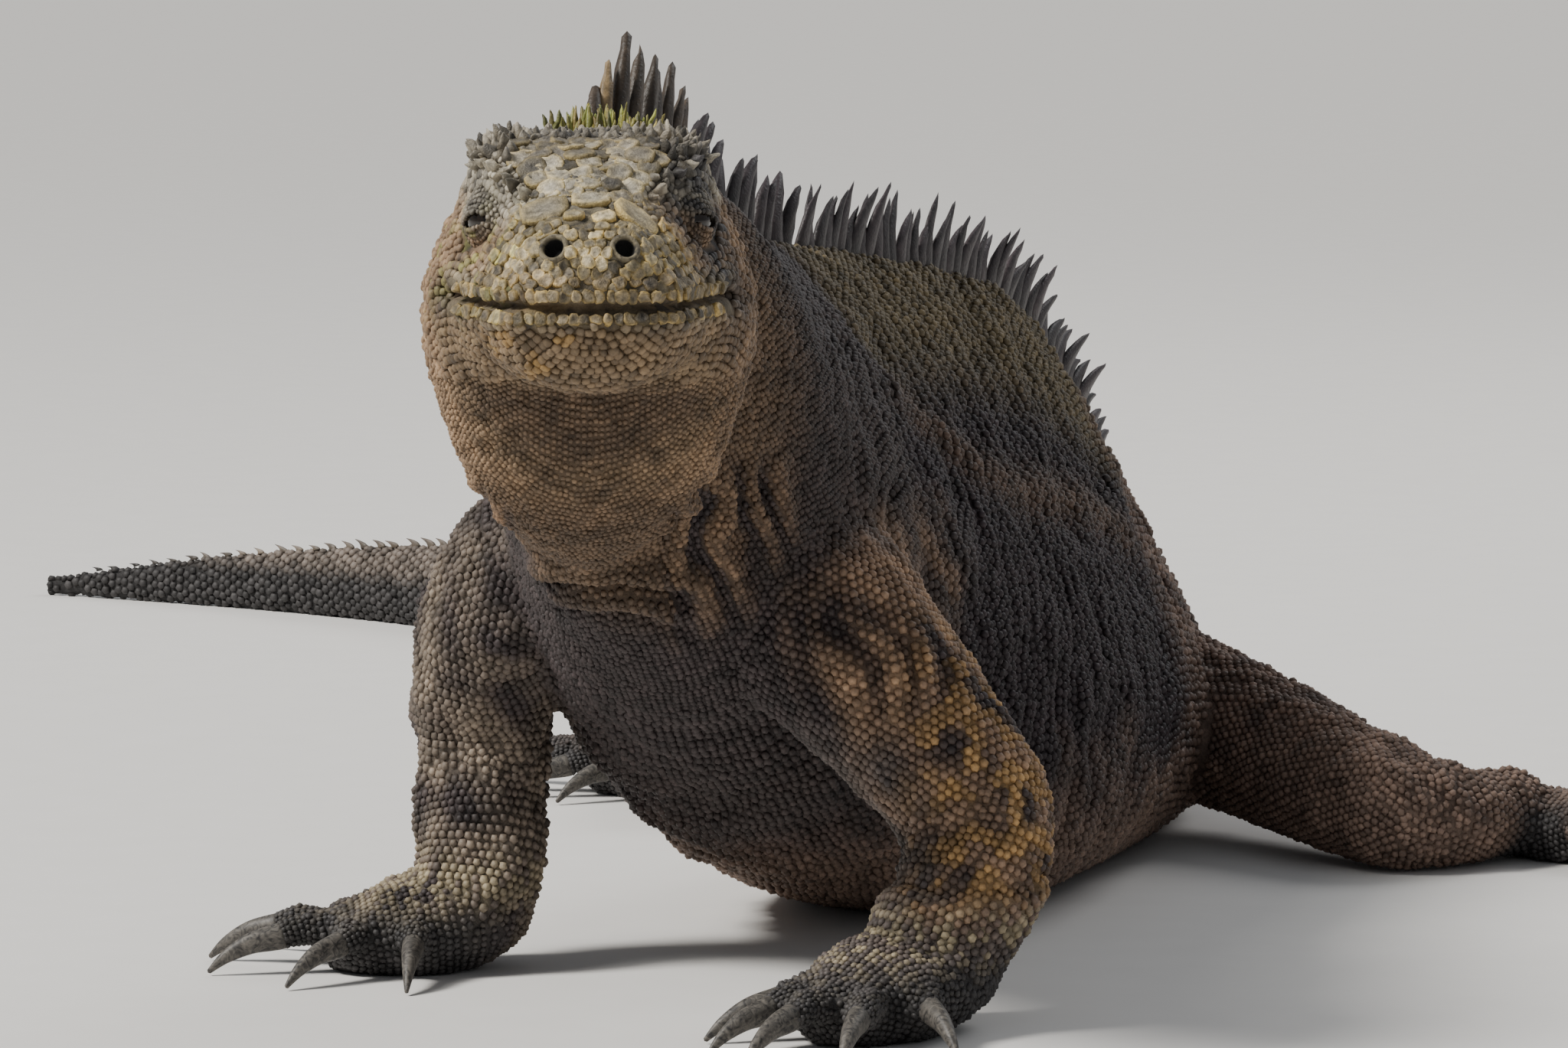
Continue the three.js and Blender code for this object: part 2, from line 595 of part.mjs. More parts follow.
function addNode(name, solid, colour, roughness = 0.85) {
  const material = new THREE.MeshStandardMaterial({ color: colour, roughness, metalness: 0 });
  const mesh = new THREE.Mesh(geometryOf(solid), material);
  mesh.name = name;
  group.add(mesh);
}

const { head, jaw } = headSolids();
addNode("head", head, colours.head);
addNode("lower_jaw", jaw, colours.jaw);
for (const [name, side] of [["eye_left", 1], ["eye_right", -1]]) {
  const centre = headPlace(eyePlace.ahead, side * eyePlace.out, eyePlace.up);
  const ball = new THREE.SphereGeometry(eyeRadius, 12, 8);
  ball.translate(centre.x, centre.y, centre.z);
  addNode(name, solidOf(ball), colours.eye, 0.2);
}
addNode("neck", neckSolid(), colours.neck);

for (const node of bodyNodes) addNode(node.name, bodySolid(node), node.colour);

// The trunk grown by the gap, which cuts the upper legs where they leave it.
const trunkReach = { from: 0.4, to: 13, rings: 36, sides: 24, spare: 0.15 };
const trunkPlaces = spread(trunkReach.from, trunkReach.to, trunkReach.rings);
const trunkGap = gap + trunkReach.spare;
const trunkGrown = loft(trunkPlaces.map((place) => bodyRing(place, trunkReach.sides, trunkGap)));

for (const [legName, leg] of Object.entries(legs)) {
  const common = { sides: 12, steps: 7, hint: leg.hint };
  const [kind, foot] = legName.startsWith("fore") ? ["foreleg", "forefoot"] : ["hindleg", "hindfoot"];
  const side = legName.endsWith("left") ? "left" : "right";
  const upper = tube(leg.upper, common);
  const lower = tube(leg.lower, common);
  const upperNode = largest(upper.subtract(trunkGrown).subtract(ground));
  const upperGrown = tube(leg.upper, { ...common, grow: gap });
  const lowerNode = largest(lower.subtract(upperGrown).subtract(trunkGrown).subtract(ground));
  const lowerGrown = tube(leg.lower, { ...common, grow: gap });
  const palm = tube(leg.palm, { sides: 12, steps: 6, hint: [0, 0, 1], flat: 0.72 });
  const fingers = [];
  leg.digits.forEach(([bearing, reach], i) => {
    const { finger, claw } = digit(leg.middle, bearing, reach);
    fingers.push(finger);
    addNode(`claw_${legName}_${i + 1}`, largest(claw.subtract(ground)), colours.claw, 0.5);
  });
  const sole = join([palm, ...fingers]).subtract(join([lowerGrown, upperGrown, trunkGrown]));
  addNode(`${kind}_upper_${side}`, upperNode, colours.leg);
  addNode(`${kind}_lower_${side}`, lowerNode, colours.leg);
  addNode(`${foot}_${side}`, largest(sole.subtract(ground)), colours.foot);
}

// The whole animal is moved so that the middle of its outline stands over the origin.
const outline = new THREE.Box3().setFromObject(group);
const centre = outline.getCenter(new THREE.Vector3());
group.position.set(-centre.x, -centre.y, 0);

export default group;
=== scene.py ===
import math

import bpy
import bmesh
import numpy as np
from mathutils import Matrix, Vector
from mathutils.bvhtree import BVHTree
from mathutils.kdtree import KDTree


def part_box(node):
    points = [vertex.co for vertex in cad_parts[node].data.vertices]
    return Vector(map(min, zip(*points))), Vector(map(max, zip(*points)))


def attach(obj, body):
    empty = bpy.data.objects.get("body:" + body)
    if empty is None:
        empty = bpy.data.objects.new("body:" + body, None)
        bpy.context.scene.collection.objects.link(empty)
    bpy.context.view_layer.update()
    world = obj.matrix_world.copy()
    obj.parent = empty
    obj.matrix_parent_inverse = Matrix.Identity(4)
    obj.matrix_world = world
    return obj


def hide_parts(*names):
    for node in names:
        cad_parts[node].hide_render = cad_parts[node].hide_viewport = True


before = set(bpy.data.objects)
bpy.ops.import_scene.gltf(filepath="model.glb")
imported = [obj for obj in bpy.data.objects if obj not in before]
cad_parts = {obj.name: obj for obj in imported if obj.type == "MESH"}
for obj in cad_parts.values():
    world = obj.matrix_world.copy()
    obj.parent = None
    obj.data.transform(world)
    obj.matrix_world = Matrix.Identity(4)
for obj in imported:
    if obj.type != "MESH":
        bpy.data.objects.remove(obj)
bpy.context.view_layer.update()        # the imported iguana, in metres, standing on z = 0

mm = 0.001

# Shapes are worked out in millimetres with the nose towards -Y, as the solids are,
# and moved into the frame at the end.
headForm = {
    "heading": 24,                 # degrees to the animal's left
    "nostril": (38, -122, 172),
    "snout": 54,                   # ear to nostril
    "mouthLevel": -12.5,           # below the nostrils
    "mouthCorner": 21,             # ahead of the ear
    "dome": 3.2,                   # how far the snout rounds out past its last row
    "solidEye": (27, 22.4, 3.6),   # ahead, out, up
    "eye": (28.6, 19.9, 2.8),      # the ball sits a little deeper than the solid one
    "ball": (4.9, 5.0, 5.0),
    "ear": (1.25, 2.55),           # row and level
}

# ahead of the ear, crown, then out and up for brow, temple, cheek, jowl and throat side, then the throat
headRows = np.array([
    [-14, 17, 14.5, 14, 24.5, 2, 31, -14, 30.5, -34, 20.5, -60, -72],
    [-3, 18.5, 18.5, 16.5, 27.5, 3, 33.8, -13, 32.5, -33, 21.5, -58, -70],
    [8, 19.5, 20.5, 18, 27.5, 4, 33.8, -13, 32, -31, 21.5, -54, -64],
    [18, 19.5, 20.5, 18, 26, 4, 32, -12, 29.5, -28, 17.5, -47, -55],
    [27, 18.5, 18.5, 16.5, 23, 3.5, 28, -11, 26, -25, 15, -36, -42],
    [36, 14, 14, 12, 20.5, 2, 25, -10, 23, -22, 14, -29, -32],
    [45, 9, 9, 7.5, 17.5, 0, 21.5, -10, 20.5, -20.5, 13.5, -28, -30],
    [52, 5, 10, 3.5, 14.8, -2, 19.2, -10, 18.6, -19.5, 12, -26.5, -28.5],
    [56.5, 3, 8.5, 1.5, 13.5, -3, 17.2, -10, 16.8, -18, 10.5, -24.5, -26.5],
    [59.5, -1, 7, -2.5, 11, -6, 14, -11, 13.5, -17, 8, -22, -23.5],
])

# across, along, back, widest level, belly, half width, fullness above and below
bodyRows = np.array([
    [16, -47, 188, 146, 90, 31, 2.0, 2.0],
    [12, -30, 184, 138, 78, 34, 1.8, 2.1],
    [7, -8, 177, 124, 62, 39, 1.6, 2.1],
    [3, 20, 169.5, 106, 44, 45, 1.5, 2.2],
    [1, 52, 163, 88, 25, 49, 1.42, 2.3],
    [0, 98, 158, 70, 8, 52, 1.36, 2.5],
    [0, 141, 153, 56, -1, 52, 1.3, 2.8],
    [0, 185, 147, 48, -1.2, 47, 1.22, 2.8],
    [0, 224, 136, 42, -1.2, 40, 1.16, 2.8],
    [-1, 262, 112, 36, -1.2, 34, 1.18, 2.7],
    [-4, 296, 85, 31, -1.2, 29, 1.25, 2.5],
    [-13, 328, 65, 26, -1.2, 24.5, 1.4, 2.4],
    [-34, 362, 52, 23, -1, 20, 1.7, 2.3],
    [-66, 403, 45, 20, -1, 16, 1.9, 2.2],
    [-108, 453, 41, 18.5, -1, 13, 1.9, 2.2],
    [-161, 507, 38, 17, -1, 10.8, 1.9, 2.2],
    [-222, 560, 35, 16, -1, 9, 1.9, 2.2],
    [-290, 607, 31, 14.5, -1, 7.5, 1.9, 2.2],
    [-362, 646, 25.5, 12, -0.8, 5.8, 1.9, 2.2],
    [-438, 671, 17.5, 8.5, -0.6, 4, 1.9, 2.2],
    [-516, 683, 6, 3, -0.3, 1.5, 1.9, 2],
])

# centre and radius down each length; digits have a bearing from straight ahead to the left, and a reach
legForm = {
    "fore_left": {
        "upper": [[18, 10, 102, 23], [34, 4, 85, 22.5], [52, 0, 70, 20], [67, -2, 55, 18],
                  [75, -4, 45, 16.5]],
        "lower": [[74, -2, 50, 16], [77.5, -7, 38, 16.3], [77, -14, 27, 15.6], [72, -22, 17, 14.5]],
        "palm": [[74, -12, 12, 12], [71, -24, 11, 16], [66, -38, 9, 17], [62, -50, 7, 12]],
        "middle": (68, -32),
        "digits": [(-49, 42), (-30, 49), (-13, 54), (9, 50), (42, 38)],
        "hint": (0, 1, 0),
    },
    "fore_right": {
        "upper": [[-18, 16, 104, 21], [-34, 18, 92, 20.5], [-48, 22, 76, 18.5], [-54, 26, 60, 16.5],
                  [-55, 27, 50, 15]],
        "lower": [[-55, 27, 54, 15], [-54, 25, 42, 15], [-52, 21, 29, 14.5], [-52, 17, 17, 14]],
        "palm": [[-51, 24, 12, 12], [-56, 16, 11, 16], [-66, 8, 9, 17], [-76, 2, 7, 12]],
        "middle": (-62, 10),
        "digits": [(20, 38), (-20, 42), (-56, 48), (-82, 50), (-108, 44)],
        "hint": (0, 1, 0),
    },
    "hind_left": {
        "upper": [[4, 298, 34, 18], [24, 290, 28, 19], [48, 274, 23.5, 18.5], [74, 254, 18.5, 16.8],
                  [92, 240, 14.5, 14]],
        "lower": [[90, 240, 13.5, 13], [101, 252, 13, 12.5], [108, 268, 12, 11], [111, 282, 10, 9.5]],
        "palm": [[108, 288, 8, 9], [116, 281, 8, 13], [128, 278, 7, 14], [139, 277, 5.5, 10]],
        "middle": (120, 279),
        "digits": [(34, 38), (58, 46), (77, 54), (96, 60), (130, 43)],
        "hint": (0, 0, 1),
    },
    "hind_right": {
        "upper": [[-26, 312, 34, 18], [-46, 304, 28, 19], [-70, 290, 23.5, 18.5], [-94, 274, 18.5, 16.8],
                  [-108, 264, 14.5, 14]],
        "lower": [[-106, 264, 13.5, 13], [-114, 277, 13, 12.5], [-118, 293, 12, 11], [-119, 306, 10, 9.5]],
        "palm": [[-115, 312, 8, 9], [-122, 306, 8, 13], [-134, 303, 7, 14], [-145, 302, 5.5, 10]],
        "middle": (-126, 304),
        "digits": [(-34, 38), (-58, 46), (-77, 54), (-96, 60), (-130, 43)],
        "hint": (0, 0, 1),
    },
}
digitForm = {"radius": 4.3, "claw": 16, "clawRadius": 2.5}

print("surfaces")


def rowAt(rows, place):
    # smooth interpolation between rows, at places counted in rows
    rows = np.asarray(rows, float)
    last = len(rows) - 1
    place = np.atleast_1d(np.asarray(place, float))
    k = np.clip(np.floor(place), 0, last - 1).astype(int)
    u = (place - k)[:, None]
    a, b, c, d = (rows[np.clip(k + i, 0, last)] for i in (-1, 0, 1, 2))
    return b + 0.5 * u * (c - a + u * (2 * a - 5 * b + 4 * c - d + u * (3 * (b - c) + d - a)))


def slopeAt(rows, place, step):
    # the way the rows run on past a place
    last = len(rows) - 1
    return rowAt(rows, np.minimum(place + step, last)) - rowAt(rows, np.maximum(place - step, 0))


def unit(v):
    return v / np.maximum(np.linalg.norm(v, axis=-1, keepdims=True), 1e-9)


def smooth(low, high, x):
    t = np.clip((x - low) / (high - low), 0, 1)
    return t * t * (3 - 2 * t)


def bump(distance, width):
    return np.exp(-(distance / width) ** 2)


def mottle(p, size, seed):
    # soft irregular values of about -1 to 1, from a few crossing waves
    waves = np.random.default_rng(seed)
    total = np.zeros(len(p))
    for _ in range(7):
        way = unit(waves.normal(size=3)) * (2 * math.pi / size) * waves.uniform(0.6, 1.5)
        total += np.sin(p @ way + waves.uniform(0, 2 * math.pi) + 1.3 * np.sin(p[:, [1, 2, 0]] @ way * 0.6))
    return total / 2.7


turn = math.radians(headForm["heading"])
headAhead = np.array([math.sin(turn), -math.cos(turn), 0])
headLeft = np.array([math.cos(turn), math.sin(turn), 0])
headOrigin = np.array(headForm["nostril"]) - headAhead * headForm["snout"]


def headPlace(ahead, out, up):
    out, up = np.asarray(out, float), np.asarray(up, float)
    up = up[..., None] * np.array([0, 0, 1.0])
    return headOrigin + np.asarray(ahead, float)[..., None] * headAhead + out[..., None] * headLeft + up


def headLocal(p):
    d = p - headOrigin
    return d @ headAhead, d @ headLeft, d[:, 2]


def headPoint(place, around):
    # around runs from the crown down the left side to the throat and up the right side;
    # past the last row the snout closes in a low dome
    beyond = np.clip(place - (len(headRows) - 1), 0, 1) * math.pi / 2
    rows = rowAt(headRows, np.minimum(place, len(headRows) - 1))
    level = 12 * around
    side = np.where(level <= 6, 1, -1)
    level = np.where(level <= 6, level, 12 - level)
    n = len(rows)
    line = np.zeros((n, 9, 2))
    line[:, 1, 1] = rows[:, 1]
    line[:, 2:7] = rows[:, 2:12].reshape(n, 5, 2)
    line[:, 7, 1] = rows[:, 12]
    line[:, 0] = line[:, 2] * [-1, 1]
    line[:, 8] = line[:, 6] * [-1, 1]
    k = np.clip(np.floor(level), 0, 5).astype(int)
    u = (level - k)[:, None]
    a, b, c, d = (line[np.arange(n), k + i] for i in range(4))
    at = b + 0.5 * u * (c - a + u * (2 * a - 5 * b + 4 * c - d + u * (3 * (b - c) + d - a)))
    middle = (rows[:, 1] + rows[:, 12]) / 2
    up = middle + (at[:, 1] - middle) * np.cos(beyond)
    return headPlace(rows[:, 0] + headForm["dome"] * np.sin(beyond), side * at[:, 0] * np.cos(beyond), up)


def bodyLeft(place):
    back = unit(slopeAt(bodyRows, place, 0.05)[:, :2])
    return np.stack([back[:, 1], -back[:, 0], np.zeros(len(back))], 1)


def bodyPoint(place, around):
    # around runs from the ridge down the left side and up the right side
    x, y, top, wide, bottom, half, above, below = rowAt(bodyRows, place).T
    angle = math.pi / 2 - 2 * math.pi * around
    c, s = np.cos(angle), np.sin(angle)
    full = np.where(s >= 0, above, below)
    tall = np.where(s >= 0, top - wide, wide - bottom)
    out = half * np.sign(c) * np.abs(c) ** (2 / full)
    up = wide + tall * np.sign(s) * np.abs(s) ** (2 / full)
    return np.stack([x, y, up], 1) + bodyLeft(place) * out[:, None] * [1, 1, 0]


torsoStart, torsoEnd = 2.0, len(bodyRows) - 1
neckDrift = 18


def neckPoint(share, around):
    blend = smooth(0, 0.75, share)[:, None]
    start = headPoint(np.zeros(len(share)), around) - headAhead * neckDrift * share[:, None]
    return start + (bodyPoint(share * torsoStart, around) - start) * blend


def tubePoint(rows, hint, flat=1.0, first=0.0, final=None, cap=0.07, bulge=0.62):
    # the last shares of the run close each end in a dome
    rows = np.asarray(rows, float)
    final = len(rows) - 1 if final is None else final

    def point(v, around):
        place = first + np.clip((v - cap) / (1 - 2 * cap), 0, 1) * (final - first)
        closing = (np.clip((v - 1) / cap + 1, 0, 1) - np.clip(1 - v / cap, 0, 1)) * math.pi / 2
        tangent = unit(slopeAt(rows, place, 0.02)[:, :3])
        side = unit(np.cross(tangent, hint))
        rise = np.cross(side, tangent)
        at = rowAt(rows, place)
        turned = 2 * math.pi * around
        radius = at[:, 3] * np.maximum(np.cos(closing), 0.02)
        middle = at[:, :3] + tangent * (at[:, 3] * bulge * np.sin(closing))[:, None]
        across, up = radius * np.cos(turned), radius * flat * np.sin(turned)
        return middle + side * across[:, None] + rise * up[:, None]
    return point


def digitRows(middle, bearing, reach, isClaw=False):
    # the finger arches to its end at row 3, and the claw runs on from there to the ground
    angle = math.radians(bearing)
    radius, claw, thin = digitForm["radius"], digitForm["claw"], digitForm["clawRadius"]
    flesh = reach - claw
    steps = [(0, 8, radius), (0.45 * flesh, 9.2, radius), (0.78 * flesh, 10.2, radius * 0.96),
             (flesh, 8.4, radius * 0.8), (flesh + 0.4 * claw, 7, thin * 0.8),
             (flesh + 0.75 * claw, 4.2, thin * 0.5), (reach, 0.9, 0.45)]
    return [[middle[0] + math.sin(angle) * far, middle[1] - math.cos(angle) * far, up,
             thin if isClaw and i < 4 else size] for i, (far, up, size) in enumerate(steps)]


def bodyPart(start, stop):
    return lambda v, around: bodyPoint(start + v * (stop - start), around)


# every length of flesh as (name, surface, rings, sides)
flesh = [
    ("head", lambda v, around: headPoint(v * (len(headRows) - 0.06), around), 72, 64),
    ("neck", neckPoint, 40, 64),
    ("body", bodyPart(torsoStart, torsoEnd), 260, 72),
]
for legName, leg in legForm.items():
    flesh.append((legName + "_upper", tubePoint(leg["upper"], leg["hint"]), 40, 28))
    flesh.append((legName + "_lower", tubePoint(leg["lower"], leg["hint"]), 36, 28))
    flesh.append((legName + "_palm", tubePoint(leg["palm"], (0, 0, 1), flat=0.72), 34, 28))
    for i, (bearing, reach) in enumerate(leg["digits"]):
        rows = digitRows(leg["middle"], bearing, reach)
        flesh.append((f"{legName}_digit_{i + 1}", tubePoint(rows, (0, 0, 1), final=3.0), 30, 16))

# the frame's own shift from the solids' design place, read off an eye
eyeLow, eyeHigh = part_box("eye_left")
ahead, out, up = headForm["solidEye"]
shift = np.array((eyeLow + eyeHigh) / 2) / mm - headPlace(ahead, out, up)
shift[2] = 0


def toFrame(p):
    return (np.asarray(p, float) + shift) * mm


def meshObject(name, points, faces):
    mesh = bpy.data.meshes.new(name)
    mesh.from_pydata([tuple(p) for p in points], [], faces)
    mesh.validate()
    mesh.update()
    made = bpy.data.objects.new(name, mesh)
    bpy.context.scene.collection.objects.link(made)
    return made


def threes(items, field="co"):
    # a value of three numbers from every item, such as the places of a mesh's points
    values = np.zeros(len(items) * 3, np.float32)
    items.foreach_get(field, values)
    return values.reshape(-1, 3).astype(float)


def facesOut(mesh):
    # turns every face of a closed mesh outwards
    turned = bmesh.new()
    turned.from_mesh(mesh)
    bmesh.ops.recalc_face_normals(turned, faces=turned.faces)
    turned.to_mesh(mesh)
    turned.free()


def ringFaces(rings, sides, closed=False):
    # quads between rings of points, and back to the first ring where the rings are closed
    faces = []
    for i in range(rings if closed else rings - 1):
        for k in range(sides):
            a, b = i * sides + k, i * sides + (k + 1) % sides
            onward = ((i + 1) % rings - i) * sides
            faces.append((a, b, b + onward, a + onward))
    return faces


def endFaces(rings, sides):
    return [tuple(range(sides))[::-1], tuple((rings - 1) * sides + k for k in range(sides))]


def loft(surface, rings, sides, roundShare):
    # closed skin through rings, its ends drawn in so that they are rounded over
    v = np.linspace(0, 1, rings)
    around = np.arange(sides) / sides
    points = surface(np.repeat(v, sides), np.tile(around, rings)).reshape(rings, sides, 3)
    middles = points.mean(1, keepdims=True)
    layers = list(points)
    for end, inner in ((0, 1), (-1, -2)):
        reach = np.linalg.norm(points[end] - middles[end], axis=1).mean()
        away = unit((middles[end] - middles[inner])[0])
        extra = [middles[end] + (points[end] - middles[end]) * s + away * reach * roundShare * f
                 for s, f in ((0.8, 0.6), (0.45, 0.9))]
        if end == 0:
            layers = extra[::-1] + layers
        else:
            layers += extra
    return np.concatenate(layers), ringFaces(len(layers), sides) + endFaces(len(layers), sides)


print("skin")
skinForm = {"voxel": 1.9, "smoothing": 4, "inside": 0.5, "floor": 0.25, "lowest": 0.05}


def buildSkin():
    joined = bmesh.new()
    for name, surface, rings, sides in flesh:
        points, faces = loft(surface, rings, sides, 0.15)
        part = meshObject("part", points, faces)
        facesOut(part.data)
        joined.from_mesh(part.data)
        bpy.data.objects.remove(part)
    mesh = bpy.data.meshes.new("skin")
    joined.to_mesh(mesh)
    joined.free()
    rough = bpy.data.objects.new("skinRough", mesh)
    bpy.context.scene.collection.objects.link(rough)
    remesh = rough.modifiers.new("remesh", "REMESH")
    remesh.mode = "VOXEL"
    remesh.voxel_size = skinForm["voxel"]
    soften = rough.modifiers.new("soften", "SMOOTH")
    soften.factor = 0.5
    soften.iterations = skinForm["smoothing"]
    bpy.context.view_layer.update()
    made = bpy.data.meshes.new_from_object(rough.evaluated_get(bpy.context.evaluated_depsgraph_get()))
    bpy.data.objects.remove(rough)
    # the head and throat get twice the density
    fine = bmesh.new()
    fine.from_mesh(made)
    at = np.array([v.co for v in fine.verts])
    ahead, _, up = headLocal(at)
    inHead = (ahead > -16) & (up > -62)
    edges = [e for e in fine.edges if inHead[e.verts[0].index] and inHead[e.verts[1].index]]
    bmesh.ops.subdivide_edges(fine, edges=edges, cuts=1, use_grid_fill=True, smooth=0.0)
    fine.to_mesh(made)
    fine.free()
    return made


nostrilAt = (58.4, 6.8, -1.5)      # ahead, out, up
foldForm = {"period": 8.5, "slant": 0.22, "wander": 2.2, "depth": 2.2}
crescents = {-76: 3.0, -83: 2.2}   # level and depth of the curved folds under the throat


def fromNostril(a, o, u):
    return np.sqrt((a - nostrilAt[0]) ** 2 + (np.abs(o) - nostrilAt[1]) ** 2 + (u - nostrilAt[2]) ** 2)


def neckFolds(p, a, o, u):
    # how strongly the folds between jowl and chest show, and their wave
    side = np.abs(o)
    here = smooth(-46, -60, u) * smooth(-116, -88, u) * smooth(16, -6, a) * smooth(-46, -30, a)
    lane = side + foldForm["slant"] * (u + 60) + foldForm["wander"] * mottle(p, 24, 5)
    return here * smooth(13, 20, side), np.sin(2 * math.pi * lane / foldForm["period"])


def aboveRidge(y, z):
    # height over the brown ridge that runs along the flank
    return z - (142 - 0.32 * (y - 33) - 14 * bump(y - 100, 60))


def sculpt(p, n):
    # folds, lids' hollows, mouth, nostrils and ears, as moves along the normals in millimetres
    a, o, u = headLocal(p)
    side = np.abs(o)
    move = np.full(len(p), -skinForm["inside"])
    head = smooth(-20, -8, a) * smooth(-75, -60, u)

    def near(ahead, out, up, stretch=(1, 1, 1)):
        parts = ((a - ahead, stretch[0]), (side - out, stretch[1]), (u - up, stretch[2]))
        return np.sqrt(sum((far / wide) ** 2 for far, wide in parts))
    mouth = u - headForm["mouthLevel"] - 0.35 * mottle(p, 14, 3)
    parted = smooth(headForm["mouthCorner"] - 3, headForm["mouthCorner"] + 2, a) * head
    move += parted * (1.0 * bump(mouth - 2.9, 1.9) + 0.9 * bump(mouth + 3.2, 2.0) - 2.6 * bump(mouth, 0.85))
    move -= 2.2 * bump(near(21, 31, -12.5), 4.0)
    nostril = fromNostril(a, o, u)
    move += 0.9 * bump(nostril - 3.2, 1.0) - 5.2 * smooth(2.5, 1.4, nostril)
    move += 0.9 * bump(near(57, 0, -4), 5)
    ahead, out, up = headForm["eye"]
    move -= 3.2 * bump(near(ahead, out, up, (1.25, 1, 0.85)), 6.2)
    move += 1.6 * bump(near(ahead, out - 3, up + 8.5), 5.5)
    ear = headPoint(np.array([headForm["ear"][0]]), np.array([headForm["ear"][1] / 12]))
    ea, eo, eu = (float(x[0]) for x in headLocal(ear))
    hole = near(ea, eo, eu, (3.6, 3, 5.2))
    move += -2.6 * bump(hole, 0.95) + 0.9 * bump(hole - 1.45, 0.35)
    move += 1.6 * bump(near(50, 0, -27, (1, 1.6, 1)), 8) - 3.4 * bump(near(36, 0, -36, (1, 2.4, 1)), 7)
    # folds of the neck, which hang from the jowls to the chest
    folds, wave = neckFolds(p, a, o, u)
    move += folds * foldForm["depth"] * wave * np.where(o < 0, 0.45, 1)
    middle = smooth(26, 14, side) * smooth(30, 10, a) * smooth(-60, -30, a)
    for level, depth in crescents.items():
        crescent = u - level + 0.02 * (side - 4) ** 2
        move += depth * (bump(crescent - 2.4, 2.2) - bump(crescent + 1.6, 1.5)) * middle
    # loose skin on the sides, the brown ridge under the band, and wrinkles behind the arm
    y, z = p[:, 1], p[:, 2]
    trunk = smooth(-20, 20, y) * smooth(340, 290, y) * smooth(4, 20, z) * smooth(165, 140, z)
    move += trunk * (0.55 * np.sin(2 * math.pi * (y + 5 * mottle(p, 40, 7)) / 9.0) + 0.8 * mottle(p, 22, 8))
    move += 1.7 * bump(aboveRidge(y, z), 4.0) * smooth(20, 45, y) * smooth(250, 200, y)
    wrist = z - 31 - 1.2 * mottle(p, 20, 12)
    leftArm = smooth(50, 60, p[:, 0]) * smooth(24, 14, y)
    move += (0.7 * bump(wrist + 4, 3) - 1.9 * bump(wrist, 1.3)) * leftArm
    move += 0.35 * mottle(p, 6, 11)
    return p + n * move[:, None]


skinMesh = buildSkin()
skinPoints = sculpt(threes(skinMesh.vertices), threes(skinMesh.vertex_normals, "vector"))
skinPoints[:, 2] = np.maximum(skinPoints[:, 2], skinForm["floor"])
skinMesh.vertices.foreach_set("co", skinPoints.astype(np.float32).ravel())
skinMesh.update()
skinPoints, skinNormals = threes(skinMesh.vertices), threes(skinMesh.vertex_normals, "vector")
skinFaces = [tuple(f.vertices) for f in skinMesh.polygons]
skinTree = BVHTree.FromPolygons([tuple(p) for p in skinPoints], skinFaces)
print("skin faces", len(skinFaces))


def ontoSkin(points, outward, reach=6.0):
    # places on the skin straight in from the points, their smooth normals, and which of them were found
    found, normals, hit = np.array(points, float), np.zeros((len(points), 3)), np.zeros(len(points), bool)
    for i, (p, n) in enumerate(zip(points, outward)):
        place, _, face, _ = skinTree.ray_cast(Vector(p + n * reach * 0.8), Vector(-n), reach * 1.8)
        if place is not None:
            smoothed = skinNormals[list(skinFaces[face])].mean(0)
            if smoothed @ n > 0.15:
                found[i], normals[i], hit[i] = place, smoothed, True
    return found, unit(normals), hit


print("markingsAndPaintedLight")
tones = {      # linear base colours; the fold ridges' tone is a painted highlight
    "forehead": (0.35, 0.315, 0.245), "snout": (0.32, 0.27, 0.175), "cheek": (0.30, 0.195, 0.112),
    "lip": (0.24, 0.20, 0.13), "jaw": (0.19, 0.13, 0.072), "throat": (0.13, 0.084, 0.050),
    "foldRidgeHighlight": (0.25, 0.155, 0.09), "chest": (0.046, 0.034, 0.034), "shoulder": (0.045, 0.033, 0.031),
    "armBrown": (0.35, 0.225, 0.14), "armDark": (0.12, 0.098, 0.088), "flank": (0.025, 0.016, 0.019),
    "olive": (0.13, 0.098, 0.048), "ridge": (0.095, 0.060, 0.042), "belly": (0.20, 0.135, 0.10),
    "thigh": (0.21, 0.14, 0.105), "tail": (0.20, 0.165, 0.138), "paleArm": (0.22, 0.175, 0.132),
    "hand": (0.045, 0.042, 0.042), "crown": (0.24, 0.212, 0.165), "charcoal": (0.040, 0.037, 0.037),
    "rust": (0.42, 0.255, 0.105), "stain": (0.42, 0.24, 0.05), "moss": (0.26, 0.27, 0.06),
    "wrist": (0.36, 0.30, 0.19),
}


